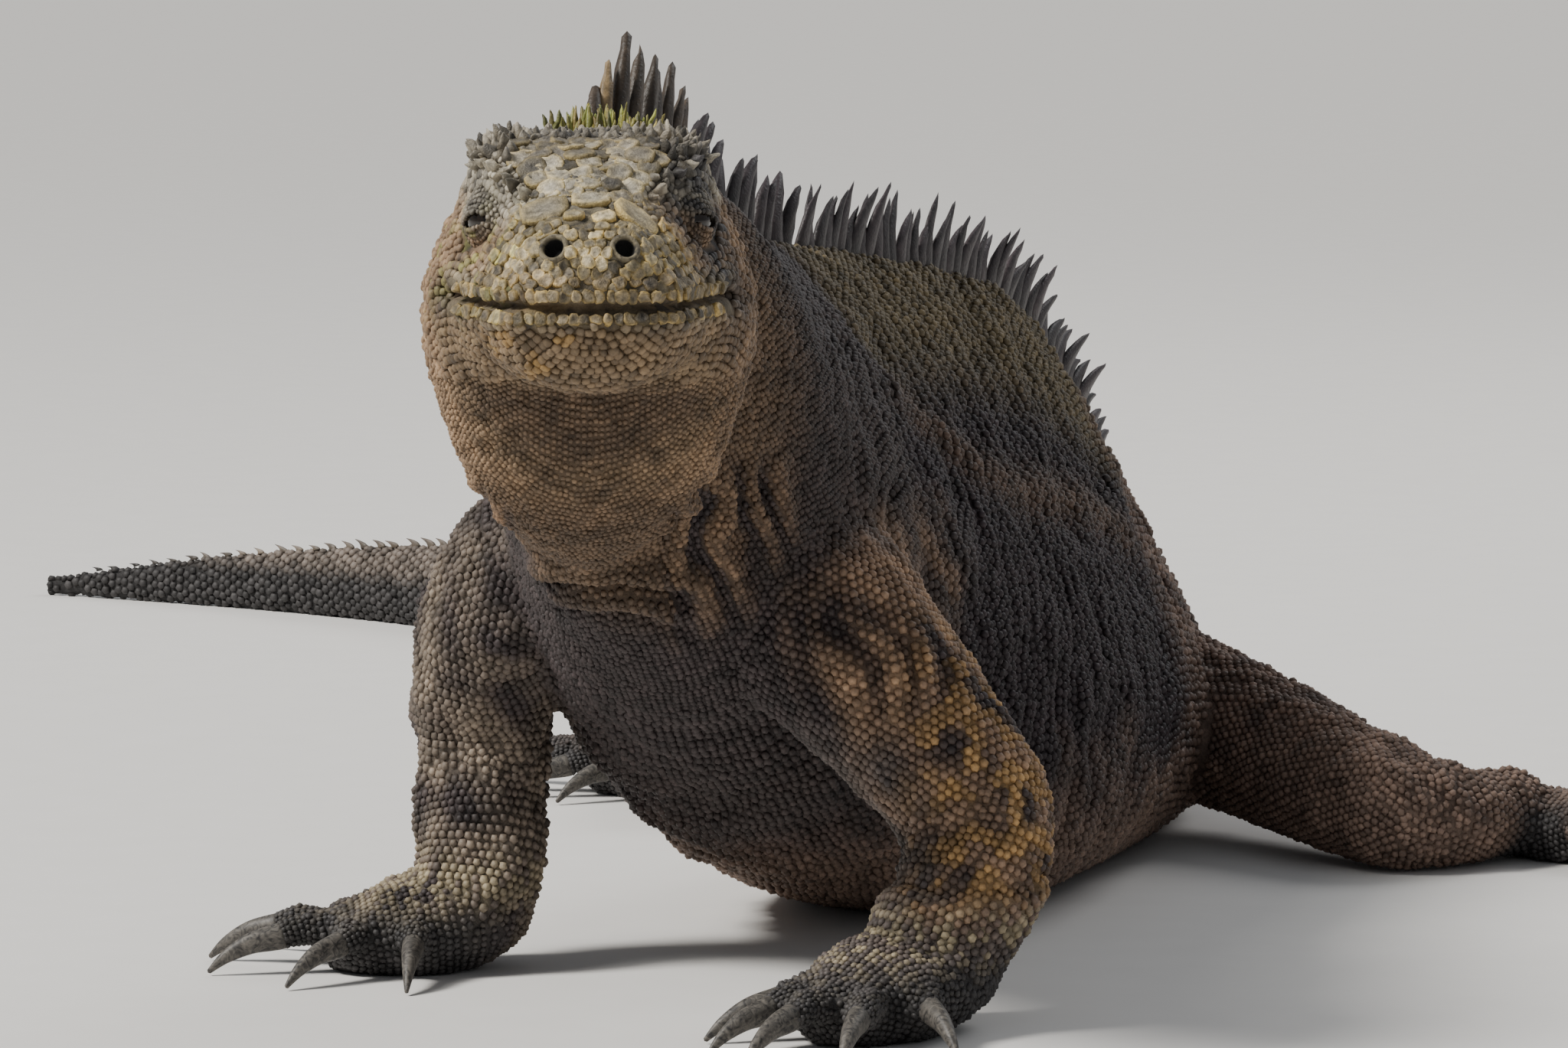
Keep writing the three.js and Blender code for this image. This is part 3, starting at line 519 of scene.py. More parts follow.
def markingsAndPaintedLight(p):
    # one rule for the skin and for every scale on it, so that they carry the same markings and the same
    # painted light and shade
    a, o, u = headLocal(p)
    x, y, z = p.T
    side, wide = np.abs(o), np.abs(x)
    wander = mottle(p, 30, 21)
    colour = np.tile(np.array(tones["flank"]), (len(p), 1))

    def lay(name, weight):
        nonlocal colour
        weight = np.clip(weight, 0, 1)[:, None]
        colour = colour * (1 - weight) + np.array(tones[name]) * weight

    def blotches(size, seed, low, high):
        return smooth(low, high, mottle(p, size, seed))
    # trunk, thighs and tail
    lay("belly", smooth(45, 12, z + 6 * wander))
    belowBack = z - (153 - 0.0011 * (y - 60) ** 2)
    lay("olive", smooth(20, 60, y) * smooth(300, 230, y) * smooth(-34, -8, belowBack))
    lay("ridge", bump(aboveRidge(y, z), 6) * smooth(10, 45, y) * smooth(250, 200, y))
    lay("shoulder", smooth(70, 30, y + 12 * wander))
    lay("chest", smooth(30, 0, y) * smooth(105, 80, z))
    # the thighs' own brown, brightened and mottled as painted dappled sunlight
    thigh = smooth(235, 268, y + 0.25 * wide) * smooth(420, 360, y)
    lay("thigh", thigh * (0.8 + 0.3 * mottle(p, 16, 26)))
    lay("tail", smooth(-60, -110, x + 8 * wander) * smooth(360, 400, y))
    # forelegs: golden brown outside, charcoal inside and on the hands, pale beads at the wrist
    arm = smooth(28, 46, wide) * smooth(60, 45, y) * smooth(112, 95, z)
    left, right = arm * (x > 0), arm * (x < 0)
    lay("armBrown", left * smooth(36, 56, x + 5 * wander) * (0.6 + 0.45 * mottle(p, 18, 22)))
    lay("armDark", left * smooth(34, 16, z))
    lay("rust", left * smooth(58, 76, x) * smooth(22, 34, z) * blotches(9, 30, -0.3, 0.5))
    lay("armDark", 0.8 * left * smooth(72, 60, x + 5 * wander) * smooth(70, 50, z))
    lay("paleArm", right * (0.55 + 0.5 * mottle(p, 20, 23)))
    foreHand = smooth(30, 5, y) * smooth(35, 50, wide)
    hindHand = smooth(255, 265, y) * smooth(84, 96, wide)
    lay("hand", smooth(19, 11, z) * (foreHand + hindHand))
    lay("charcoal", 0.8 * left * smooth(80, 72, x) * bump(z - 36, 5))
    isBead = mottle(p, 4, 31) > np.where(x > 0, 0.1, -0.25)
    lay("wrist", 0.9 * arm * bump(z - 21, 5.5) * isBead)
    # neck and its folds, with painted highlights on the ridges, stronger on the right side where the light
    # falls, and painted shade in the grooves
    lay("throat", smooth(-75, -40, a) * smooth(-100, -80, u) * smooth(-45, -20, a))
    folds, wave = neckFolds(p, a, o, u)
    # painted highlight on the ridges of the folds, stronger on the right side, which faces the light
    lay("foldRidgeHighlight", folds * smooth(-0.3, 0.7, wave) * np.where(o < 0, 1, 0.45))
    # painted shade in the grooves between the folds, in the chest tone
    lay("chest", folds * smooth(0.1, -0.6, wave))
    # head: cheeks, jaw and lips, then snout, forehead and crown
    head = smooth(-20, -6, a) * smooth(-62, -46, u)
    lay("cheek", head)
    lay("jaw", head * smooth(-11.5, -13.5, u) * smooth(10, 24, a))
    # painted shade over the left side of the head, which is turned from the light, in the throat tone
    lay("throat", 0.65 * head * smooth(22, 30, o + 1.5 * wander) * smooth(0, -10, u))
    lay("lip", head * smooth(18, 26, a) * (bump(u + 9.5, 3.0) + 0.8 * bump(u + 15.2, 1.8)))
    lay("snout", head * smooth(38, 48, a) * smooth(-9, -5, u))
    lay("forehead", head * smooth(2, 9, u + 2 * wander) * smooth(54, 46, a))
    lay("crown", head * smooth(13, 17, u) * smooth(40, 30, a))
    lay("throat", head * smooth(-27, -34, u) * smooth(14, 26, a))
    lay("charcoal", 0.6 * head * smooth(2, 10, u) * blotches(4.5, 36, 0.15, 0.85))
    # painted shade in the hollows of the eyes, over their dark skin and deeper on the left side, away from
    # the light; painted shade in the nostrils and the corners of the mouth; and stains
    fromEye = np.sqrt((a - 27) ** 2 + (0.6 * (side - 20)) ** 2 + ((u - 2) * 0.8) ** 2)
    # painted shade round the eyes, with their dark skin; wider and deeper on the left side, which is turned
    # from the light
    eyeShadeAndDarkSkin = np.where(o > 0, smooth(16, 9, fromEye), 0.6 * smooth(9, 5, fromEye))
    lay("charcoal", eyeShadeAndDarkSkin * (0.8 + 0.4 * mottle(p, 5, 32)))
    # painted shade in the nostril pits
    lay("charcoal", smooth(3.2, 2.0, fromNostril(a, o, u)))
    lay("charcoal", 0.75 * head * smooth(34, 44, a) * smooth(-19, -16, u) * blotches(3.4, 35, 0.4, 1.0))
    # painted shade in the corners of the mouth
    lay("charcoal", 0.9 * bump(np.sqrt((a - 20) ** 2 + (side - 31) ** 2 + (u + 12.5) ** 2), 4.5))
    chin = bump(np.hypot(o + 11, 1.3 * (u + 20)), 9) * smooth(36, 44, a)
    lay("stain", 0.75 * blotches(8, 33, 0.1, 0.9) * chin)
    lay("moss", 0.6 * blotches(7, 34, 0.2, 1.0) * head * smooth(-4, 4, -o - 12) * bump(u + 5, 9))
    uneven = 1 + 0.22 * mottle(p, 9, 24) + 0.12 * mottle(p, 3.5, 25)
    return np.clip(colour * uneven[:, None], 0.004, 1)


def setColour(mesh, name, values):
    layer = mesh.attributes.new(name, "FLOAT_COLOR", "POINT")
    full = np.ones((len(values), 4), np.float32)
    full[:, :3] = values
    layer.data.foreach_set("color", full.ravel())


def setVector(mesh, name, values):
    layer = mesh.attributes.new(name, "FLOAT_VECTOR", "POINT")
    layer.data.foreach_set("vector", np.asarray(values, np.float32).ravel())


print("materials")


class Wiring:
    # adds nodes, and sets or links their sockets by number or by name
    def __init__(self, tree):
        self.tree = tree

    def add(self, kind, settings=None, numbered=None, **named):
        node = self.tree.nodes.new(kind)
        for key, value in (settings or {}).items():
            setattr(node, key, value)
        given = dict(numbered or {})
        given.update({key.replace("_", " "): value for key, value in named.items()})
        for key, value in given.items():
            if isinstance(value, bpy.types.NodeSocket):
                self.tree.links.new(value, node.inputs[key])
            else:
                node.inputs[key].default_value = value
        return node


def newMaterial(name, roughness, specular=0.4, **sockets):
    material = bpy.data.materials.new(name)
    material.use_nodes = True
    material.node_tree.nodes.clear()
    wire = Wiring(material.node_tree)
    shader = wire.add("ShaderNodeBsdfPrincipled", Roughness=roughness,
                      Specular_IOR_Level=specular, **sockets)
    wire.add("ShaderNodeOutputMaterial", Surface=shader.outputs[0])
    return material, wire, shader


def twoToned(name, roughness, specular, dark, light, ends=(0, 1), noise=None, **sockets):
    # the colour wanders between two tones
    material, wire, shader = newMaterial(name, roughness, specular, **sockets)
    place = wire.add("ShaderNodeTexCoord").outputs["Object"]
    speck = wire.add("ShaderNodeTexNoise", Vector=place, **noise)
    ramp = wire.add("ShaderNodeValToRGB", Fac=speck.outputs[0])
    for stop, at, tone in zip(ramp.color_ramp.elements, ends, (dark, light)):
        stop.position = at
        stop.color = (*tone, 1)
    wire.tree.links.new(ramp.outputs[0], shader.inputs["Base Color"])
    return material


def hideMaterial(name, roughness, grain, bumpDepth, shade, edge=None):
    # colour from the markings and painted light, broken up by fine noise, with a bumped surface; an edge
    # below one darkens the roots as painted shade between the scales, an edge above one lightens real pale
    # seams
    material, wire, shader = newMaterial(name, roughness)
    place = wire.add("ShaderNodeTexCoord").outputs["Object"]
    tone = wire.add("ShaderNodeAttribute", {"attribute_name": "tone"}).outputs["Color"]
    speck = wire.add("ShaderNodeTexNoise", Vector=place, Scale=grain, Detail=5.0, Roughness=0.65)
    level = wire.add("ShaderNodeMapRange", Value=speck.outputs[0], From_Min=0.3, From_Max=0.7,
                     To_Min=shade[0], To_Max=shade[1])
    scaled = wire.add("ShaderNodeVectorMath", {"operation": "SCALE"}, {0: tone}, Scale=level.outputs[0])
    colour = scaled.outputs[0]
    if edge:
        rim = wire.add("ShaderNodeAttribute", {"attribute_name": "rim"}).outputs["Fac"]
        edged = wire.add("ShaderNodeVectorMath", {"operation": "MULTIPLY"}, {0: colour, 1: edge})
        mix = wire.add("ShaderNodeMix", {"data_type": "RGBA"}, Factor=rim, A=colour, B=edged.outputs[0])
        colour = mix.outputs["Result"]
    wire.tree.links.new(colour, shader.inputs["Base Color"])
    fine = wire.add("ShaderNodeTexNoise", Vector=place, Scale=grain * 3.0, Detail=3.0)
    rough = wire.add("ShaderNodeMapRange", Value=fine.outputs[0],
                     To_Min=roughness - 0.12, To_Max=roughness + 0.12)
    wire.tree.links.new(rough.outputs[0], shader.inputs["Roughness"])
    lift = wire.add("ShaderNodeBump", Height=fine.outputs[0], Strength=0.5, Distance=bumpDepth)
    wire.tree.links.new(lift.outputs[0], shader.inputs["Normal"])
    return material


# the skin between the scales darkened to a third to three quarters of its tone, as painted shade in the
# crevices
hideSkinShaded = hideMaterial("hideBetweenScalesShaded", 0.8, 900, 0.0006, (0.35, 0.75))
# the roots of the scales darkened as painted shade between them
hideScale = hideMaterial("bodyScales", 0.58, 1400, 0.0002, (0.75, 1.3), (0.55, 0.52, 0.5))
hidePlate = hideMaterial("headPlates", 0.6, 900, 0.0006, (0.42, 1.35), (1.45, 1.27, 0.75))
# the roots of the knobs darkened as painted shade between them
hideKnob = hideMaterial("crownKnobs", 0.55, 900, 0.0005, (0.55, 1.45), (0.4, 0.37, 0.31))
# the roots of the spines a little darker, as painted shade
hideSpine = hideMaterial("crestHorn", 0.5, 500, 0.0004, (0.6, 1.4), (0.8, 0.78, 0.7))

print("trees that lay one shape on each seed")


def template(name, rings, sides, tip=1.0, square=0.0):
    # rings of (height, radius, lean) round +Z; the rim value is 1 at the root and 0 at the tip
    angle = 2 * np.pi * np.arange(sides) / sides
    corner = 1 + square * ((np.cos(angle) ** 4 + np.sin(angle) ** 4) ** -0.25 - 1)
    points, rims = [], []
    for height, radius, lean in rings:
        for turned, far in zip(angle, corner):
            points.append((radius * far * math.cos(turned) + lean, radius * far * math.sin(turned), height))
            rims.append(min(1.0, radius ** 3))
    faces = [tuple(range(sides))[::-1]] + ringFaces(len(rings), sides)
    top = (len(rings) - 1) * sides
    points.append((rings[-1][2] * 1.1, 0, tip))
    rims.append(0.0)
    faces += [(top + k, top + (k + 1) % sides, len(points) - 1) for k in range(sides)]
    made = meshObject(name, points, faces)
    layer = made.data.attributes.new("rim", "FLOAT", "POINT")
    layer.data.foreach_set("value", rims)
    setVector(made.data, "patch", [(0.0015 * p[0] / 1.2, 0.0015 * p[1], 0) for p in points])
    made.hide_render = True
    return made


bead = template("bead", [(-0.5, 1.0, 0), (0.45, 0.86, 0), (0.8, 0.55, 0.02)], 8, tip=0.92, square=0.8)
grain = template("grain", [(-0.45, 1.0, 0), (0.5, 0.74, 0.08)], 5)
plate = template("plate", [(-0.6, 1.0, 0), (0.5, 1.0, 0), (0.8, 0.9, 0), (0.88, 0.7, 0), (0.84, 0.35, 0)],
                 12, tip=0.8, square=0.75)
knob = template("knob", [(-0.4, 1.0, 0), (0.15, 0.95, 0), (0.45, 0.72, 0.05), (0.75, 0.4, 0.1),
                         (0.93, 0.16, 0.14)], 7)
thorn = template("thorn", [(-0.22, 1.0, 0), (0.0, 1.0, 0), (0.2, 0.92, 0.1), (0.42, 0.78, 0.4),
                           (0.62, 0.6, 0.85), (0.8, 0.4, 1.4), (0.93, 0.2, 1.9)], 8)
horn = template("horn", [(-0.22, 1.0, 0), (0.0, 1.0, 0), (0.22, 0.97, 0.12), (0.45, 0.88, 0.4),
                         (0.66, 0.74, 0.8), (0.83, 0.55, 1.25), (0.94, 0.34, 1.6)], 10)


def seedTree(name):
    tree = bpy.data.node_groups.new(name, "GeometryNodeTree")
    face = tree.interface
    face.new_socket("Geometry", in_out="INPUT", socket_type="NodeSocketGeometry")
    for label, kind in (("Shape", "Object"), ("Finish", "Material"), ("Size", "Float"),
                        ("Height", "Float"), ("Size spread", "Float"), ("Seed", "Int")):
        face.new_socket(label, in_out="INPUT", socket_type="NodeSocket" + kind)
    face.new_socket("Geometry", in_out="OUTPUT", socket_type="NodeSocketGeometry")
    wire = Wiring(tree)
    given = wire.add("NodeGroupInput")

    def named(attribute):
        vector = wire.add("GeometryNodeInputNamedAttribute", {"data_type": "FLOAT_VECTOR"}, Name=attribute)
        return vector.outputs[0]
    shape = wire.add("GeometryNodeObjectInfo", Object=given.outputs["Shape"])
    turned = wire.add("FunctionNodeAxesToRotation", {"primary_axis": "Z", "secondary_axis": "X"},
                      Primary_Axis=named("out"), Secondary_Axis=named("lie"))
    wide = given.outputs["Size spread"]
    low = wire.add("ShaderNodeMath", {"operation": "SUBTRACT"}, {0: 1.0, 1: wide})
    high = wire.add("ShaderNodeMath", {"operation": "ADD"}, {0: 1.0, 1: wide})
    vary = wire.add("FunctionNodeRandomValue", {"data_type": "FLOAT"},
                    {2: low.outputs[0], 3: high.outputs[0]}, Seed=given.outputs["Seed"])
    whole = wire.add("ShaderNodeMath", {"operation": "MULTIPLY"},
                     {0: vary.outputs[1], 1: given.outputs["Size"]})
    axes = wire.add("ShaderNodeCombineXYZ", X=whole.outputs[0], Y=whole.outputs[0],
                    Z=given.outputs["Height"])
    size = wire.add("ShaderNodeVectorMath", {"operation": "MULTIPLY"},
                    {0: named("size"), 1: axes.outputs[0]})
    laid = wire.add("GeometryNodeInstanceOnPoints", Points=given.outputs["Geometry"],
                    Instance=shape.outputs["Geometry"], Rotation=turned.outputs[0], Scale=size.outputs[0])
    real = wire.add("GeometryNodeRealizeInstances", Geometry=laid.outputs[0])
    spot = wire.add("ShaderNodeVectorMath", {"operation": "ADD"}, {0: named("root"), 1: named("patch")})
    mapped = wire.add("GeometryNodeStoreNamedAttribute", {"data_type": "FLOAT2", "domain": "CORNER"},
                      Geometry=real.outputs[0], Name="OFBake", Value=spot.outputs[0])
    done = wire.add("GeometryNodeSetMaterial", Geometry=mapped.outputs[0], Material=given.outputs["Finish"])
    wire.add("NodeGroupOutput", None, {0: done.outputs[0]})
    return tree


layTree = seedTree("layOnSeeds")


def laySeeds(name, seeds, shape, finish, size=1.0, height=1.0, spread=0.12, seed=1, uneven=0.0):
    # seeds: points, out, lie, size (mm) and root (UV), all in design millimetres
    points = meshObject(name + "Seeds", toFrame(seeds["point"]), [])
    setVector(points.data, "out", seeds["out"])
    setVector(points.data, "lie", seeds["lie"])
    setVector(points.data, "size", seeds["size"] * mm)
    setVector(points.data, "root", seeds["root"])
    setColour(points.data, "tone", seeds["tone"])
    modifier = points.modifiers.new("lay", "NODES")
    modifier.node_group = layTree
    values = {"Shape": shape, "Finish": finish, "Size": size, "Height": height,
              "Size spread": spread, "Seed": seed}
    for item in layTree.interface.items_tree:
        if item.in_out == "INPUT" and item.name in values:
            modifier[item.identifier] = values[item.name]
    bpy.context.view_layer.update()
    mesh = bpy.data.meshes.new_from_object(points.evaluated_get(bpy.context.evaluated_depsgraph_get()))
    bpy.data.objects.remove(points)
    mesh.shade_smooth()
    place = threes(mesh.vertices)
    if uneven:
        local = place / mm
        waves = [mottle(local, 2.6, 91), mottle(local, 2.6, 92), mottle(local, 2.2, 93)]
        place += uneven * mm * np.stack(waves, 1)
        shades = np.zeros(len(place) * 4, np.float32)
        tone = mesh.attributes["tone"].data
        tone.foreach_get("color", shades)
        shades = shades.reshape(-1, 4)
        darker = 1 + 0.28 * mottle(local, 1.7, 94) + 0.15 * mottle(local, 0.8, 95)
        shades[:, :3] *= np.clip(darker, 0.25, 2)[:, None]
        tone.foreach_set("color", shades.ravel())
    place[:, 2] = np.maximum(place[:, 2], skinForm["lowest"] * mm)
    mesh.vertices.foreach_set("co", place.astype(np.float32).ravel())
    mesh.update()
    mesh.name = name
    made = bpy.data.objects.new(name, mesh)
    bpy.context.scene.collection.objects.link(made)
    for layer in ("out", "lie", "size", "root", "patch"):
        if layer in mesh.attributes:
            mesh.attributes.remove(mesh.attributes[layer])
    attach(made, "root")
    triangles = sum(len(f.vertices) - 2 for f in mesh.polygons)
    print(name, len(seeds["point"]), "seeds,", triangles, "triangles")
    return made


print("seeds")


def chosen(seeds, mask):
    return {key: value[mask] for key, value in seeds.items()}


def ringSeeds(surface, spacing, seed, jitter=0.12, start=0.0, stop=1.0):
    # rows of seeds laid round a surface, each row set off by half a step from the last
    local = np.random.default_rng(seed)
    v = np.linspace(start, stop, 500)
    runs = [np.diff(surface(v, np.full(500, t)), axis=0) for t in (0.1, 0.35, 0.6, 0.85)]
    along = np.concatenate([[0], np.cumsum(np.mean([np.linalg.norm(run, axis=1) for run in runs], 0))])
    rows = max(int(along[-1] / (spacing * 0.87)), 2)
    places = np.interp(np.linspace(0, along[-1], rows), along, v)
    allV, allU = [], []
    fine = np.linspace(0, 1, 97)
    for i, place in enumerate(places):
        ring = surface(np.full(97, place), fine)
        girth = np.concatenate([[0], np.cumsum(np.linalg.norm(np.diff(ring, axis=0), axis=1))])
        count = max(int(girth[-1] / spacing), 3)
        at = (np.arange(count) + 0.5 * (i % 2) + local.uniform(-jitter, jitter, count)) / count
        allU.append(np.interp(at % 1, girth / max(girth[-1], 1e-6), fine))
        allV.append(np.full(count, place) + local.uniform(-jitter, jitter, count) * (stop - start) / rows)
    v, u = np.clip(np.concatenate(allV), 0, 1), np.concatenate(allU)
    return surface(v, u), v, u


def spread(seeds, spacing):
    # drops a seed that crowds an earlier one, where two surfaces cross
    p = seeds["point"]
    tree = KDTree(len(p))
    for i, place in enumerate(p):
        tree.insert(Vector(place), i)
    tree.balance()
    alive = np.ones(len(p), bool)
    for i, place in enumerate(p):
        if alive[i]:
            for _, j, _ in tree.find_range(Vector(place), float(spacing[i])):
                if j > i:
                    alive[j] = False
    return chosen(seeds, alive)


def seedsOf(surface, spacing, seed, patch, form=(0.62, 0.57, 0.45), start=0.0, stop=1.0, keep=None):
    raw, v, u = ringSeeds(surface, spacing, seed, start=start, stop=stop)
    if keep is not None:
        kept = keep(raw, v, u)
        raw, v, u = raw[kept], v[kept], u[kept]
    step = 0.004
    lie = surface(np.minimum(v + step, 1), u) - surface(np.maximum(v - step, 0), u)
    across = surface(v, (u + step) % 1) - surface(v, (u - step) % 1)
    outward = unit(np.cross(lie, across))
    middle = sum(surface(v, np.full(len(v), s)) for s in (0.0, 0.25, 0.5, 0.75)) / 4
    outward *= np.sign(np.sum(outward * (raw - middle), 1, keepdims=True))
    point, out, hit = ontoSkin(raw, outward)
    low, high = np.array(patch[:2]), np.array(patch[2:])
    share = np.stack([u, (v - start) / (stop - start)], 1)
    n = len(u)
    root = np.concatenate([low + (high - low) * share, np.zeros((n, 1))], 1)
    size = np.tile(np.array(form) * spacing, (n, 1))
    seeds = {"point": point, "out": out, "lie": unit(lie), "size": size, "root": root,
             "gap": np.full(n, spacing * 0.6)}
    return chosen(seeds, hit)


def together(*lists):
    return {key: np.concatenate([s[key] for s in lists]) for key in lists[0]}


def coat(name, seeds, shape, finish, crowd=True, tint=0.12, **options):
    if crowd:
        seeds = spread(seeds, seeds["gap"])
    local = np.random.default_rng(len(name) + 5)
    tinted = markingsAndPaintedLight(seeds["point"]) * local.normal(1, tint, (len(seeds["point"]), 1))
    seeds["tone"] = np.clip(tinted, 0.003, 1)
    return laySeeds(name, seeds, shape, finish, **options)


surfaces = {name: surface for name, surface, _, _ in flesh}
whole = (0.01, 0.01, 0.99, 0.99)
eyeAhead, eyeOut, eyeUp = headForm["eye"]
lipForm = {"spacing": 2.3, "up": 2.1, "down": 2.5, "from": 22, "form": (0.56, 0.58, 0.36)}


def clearOf(raw):
    # leaves room for the eyes, the nostrils and the lips
    a, o, up = headLocal(raw)
    eye = np.sqrt(((a - eyeAhead) / 1.2) ** 2 + (np.abs(o) - eyeOut - 2) ** 2 * 0.3
                  + ((up - eyeUp) / 0.95) ** 2)
    mouth = (np.abs(up - headForm["mouthLevel"] + 0.2) < 3.4) & (a > lipForm["from"])
    return (eye > 7.4) & (fromNostril(a, o, up) > 3.0) & ~mouth


def alongHead(where):
    # seeds of the head where a rule in its own measures holds
    return lambda raw, v, u: clearOf(raw) & where(*headLocal(raw), 12 * np.minimum(u, 1 - u))


def roughen(seeds, seed, tilt, aspect, tall):
    # tilts the seeds a little and varies their width, length and height
    local = np.random.default_rng(seed)
    n = len(seeds["point"])
    seeds["out"] = unit(seeds["out"] + tilt * local.normal(size=(n, 3)))
    factors = [local.uniform(1 - most, 1 + most, n) for most in (aspect, aspect, tall)]
    seeds["size"] = seeds["size"] * np.stack(factors, 1)
    return seeds


def lipRow(height, spacing, seed):
    # seeds along the line of the mouth, found by rays from inside the head
    angle = np.linspace(-1.75, 1.75, 700)
    way = np.cos(angle)[:, None] * headAhead + np.sin(angle)[:, None] * headLeft
    centre = headPlace(36.0, 0.0, height)
    hits = []
    for d in way:
        place, _, face, _ = skinTree.ray_cast(Vector(centre), Vector(d), 80)
        hits.append(np.array(place) if place is not None else centre)
    hits = np.array(hits)
    hits = hits[headLocal(hits)[0] > lipForm["from"] - 1]
    along = np.concatenate([[0], np.cumsum(np.linalg.norm(np.diff(hits, axis=0), axis=1))])
    at = np.arange(spacing / 2, along[-1], spacing)
    point = np.stack([np.interp(at, along, hits[:, k]) for k in range(3)], 1)
    lie = unit(np.stack([np.interp(at + 1, along, hits[:, k]) for k in range(3)], 1) - point + 1e-6)
    inward = centre - point
    inward[:, 2] = 0
    point, out, hit = ontoSkin(point, -unit(inward))
    n = len(at)
    root = np.stack([at / along[-1], np.full(n, 0.5 + 0.01 * height), np.zeros(n)], 1)
    size = np.tile(np.array(lipForm["form"]) * spacing, (n, 1))
    seeds = {"point": point, "out": out, "lie": lie, "size": size, "root": root,
             "gap": np.full(n, spacing * 0.5)}
    return roughen(chosen(seeds, hit), seed, 0.12, 0.24, 0.5)


# the large flat plates of the forehead and snout, as (ahead, out, half width, half length)
largePlates = [(47.2, -9.0, 4.9, 3.6), (45.4, 0.4, 4.5, 3.6), (48.2, 9.4, 4.7, 3.6), (51.8, -3.0, 2.4, 1.7),
               (52.0, 2.9, 2.3, 1.7)]


def featurePlates():
    n = len(largePlates)
    aheads, outs, wide, long = np.array(largePlates).T
    above = np.tile([0, 0, 1.0], (n, 1))
    point, out, hit = ontoSkin(headPlace(aheads, outs, np.full(n, 30.0)), above, reach=60)
    root = np.stack([0.5 + outs / 60, aheads / 70, np.zeros(n)], 1)
    size = np.stack([long, wide, np.full(n, 0.9)], 1)
    seeds = {"point": point, "out": out, "lie": np.tile(-headAhead, (n, 1)), "size": size,
             "root": root, "gap": (long + wide) / 2 + 0.7}
    return chosen(seeds, hit)


def apartFrom(seeds, others, spare):
    # leaves out the seeds that stand on the larger plates
    tree = KDTree(len(others["point"]))
    for i, p in enumerate(others["point"]):
        tree.insert(Vector(p), i)
    tree.balance()
    nearest = [tree.find(Vector(p)) for p in seeds["point"]]
    return chosen(seeds, np.array([far > others["gap"][i] + spare for _, i, far in nearest]))


headCoat = {      # spacing, seed, and the form (half width, half length, height) in spacings
    "middle": (4.1, 38, (0.62, 0.66, 0.2)), "snout": (2.5, 37, (0.56, 0.56, 0.27)),
    "knobs": (2.6, 31, (0.56, 0.52, 0.78)), "brow": (2.6, 36, (0.54, 0.52, 1.15)),
    "cheek": (1.95, 32, (0.56, 0.56, 0.42)), "fill": (1.5, 34, (0.6, 0.56, 0.4)),
    "throat": (1.3, 35, (0.6, 0.56, 0.42)),
}
neckCoat = {"spacing": 1.7, "seed": 33, "form": (0.6, 0.56, 0.42)}
trunkCoat = {      # first and last place along the body, and spacing
    "trunk_front_scales": (2.0, 4.8, 2.15), "trunk_middle_scales": (4.8, 7.6, 2.2),
    "trunk_rear_scales": (7.6, 11.3, 2.3), "tail_scales": (11.3, torsoEnd, 2.9),
}
legCoat = {"upper": 2.1, "lower": 2.1, "palm": 1.7, "digit": 1.45}      # spacings


def headSeeds(kind, where):
    spacing, seed, form = headCoat[kind]
    return seedsOf(surfaces["head"], spacing, seed, whole, form=form, keep=alongHead(where))


plates = featurePlates()
middles = headSeeds("middle", lambda a, o, up, level: (a > 23) & (a < 46) & (level < 0.82))
middles["gap"] = np.full(len(middles["point"]), 2.2)
middles = roughen(apartFrom(spread(middles, middles["gap"] * 1.4), plates, 0.2), 19, 0.05, 0.14, 0.3)
plates = together(plates, middles)
snoutTop = headSeeds("snout", lambda a, o, up, level: (a > 41) & (up > -9.6))
snoutTop = roughen(spread(snoutTop, snoutTop["gap"]), 14, 0.08, 0.14, 0.3)
snoutTop = apartFrom(snoutTop, plates, 0.2)
upperLip = lipRow(headForm["mouthLevel"] + lipForm["up"], lipForm["spacing"], 15)
lowerLip = lipRow(headForm["mouthLevel"] - lipForm["down"], lipForm["spacing"], 16)
flat = together(plates, snoutTop, upperLip, lowerLip)
coat("head_plates", flat, plate, hidePlate, tint=0.24, seed=4, crowd=False, uneven=0.2)
knobs = headSeeds("knobs", lambda a, o, up, level: (level < 1.0) & (a < 25) & (a > -9))
brow = headSeeds("brow", lambda a, o, up, level: (level >= 0.62) & (level < 1.35) & (a < 42) & (a > -6))
knobs = together(roughen(brow, 13, 0.3, 0.25, 0.4), roughen(knobs, 12, 0.25, 0.25, 0.5))
knobs = apartFrom(spread(knobs, knobs["gap"]), plates, 0.5)
coat("head_knobs", knobs, knob, hideKnob, tint=0.3, seed=3, crowd=False, uneven=0.22)


def onCheek(a, o, up, level):
    onCrown = (level < 1.35) & (a < 42)
    onSnout = (a > 43) & (up > -9.6)
    return ~onCrown & ~onSnout & (up > -30)


cheek = roughen(headSeeds("cheek", onCheek), 17, 0.06, 0.1, 0.3)
fill = headSeeds("fill", lambda a, o, up, level: (level < 1.5) & (a < 46) & (a > -12))
fill = apartFrom(fill, plates, -0.6)
throat = headSeeds("throat", lambda a, o, up, level: up <= -30)
neck = seedsOf(surfaces["neck"], neckCoat["spacing"], neckCoat["seed"], whole, form=neckCoat["form"])
coat("head_scales", together(cheek, fill), bead, hideScale, seed=5)
coat("throat_scales", throat, grain, hideScale, seed=6)
coat("neck_scales", neck, grain, hideScale, seed=6)

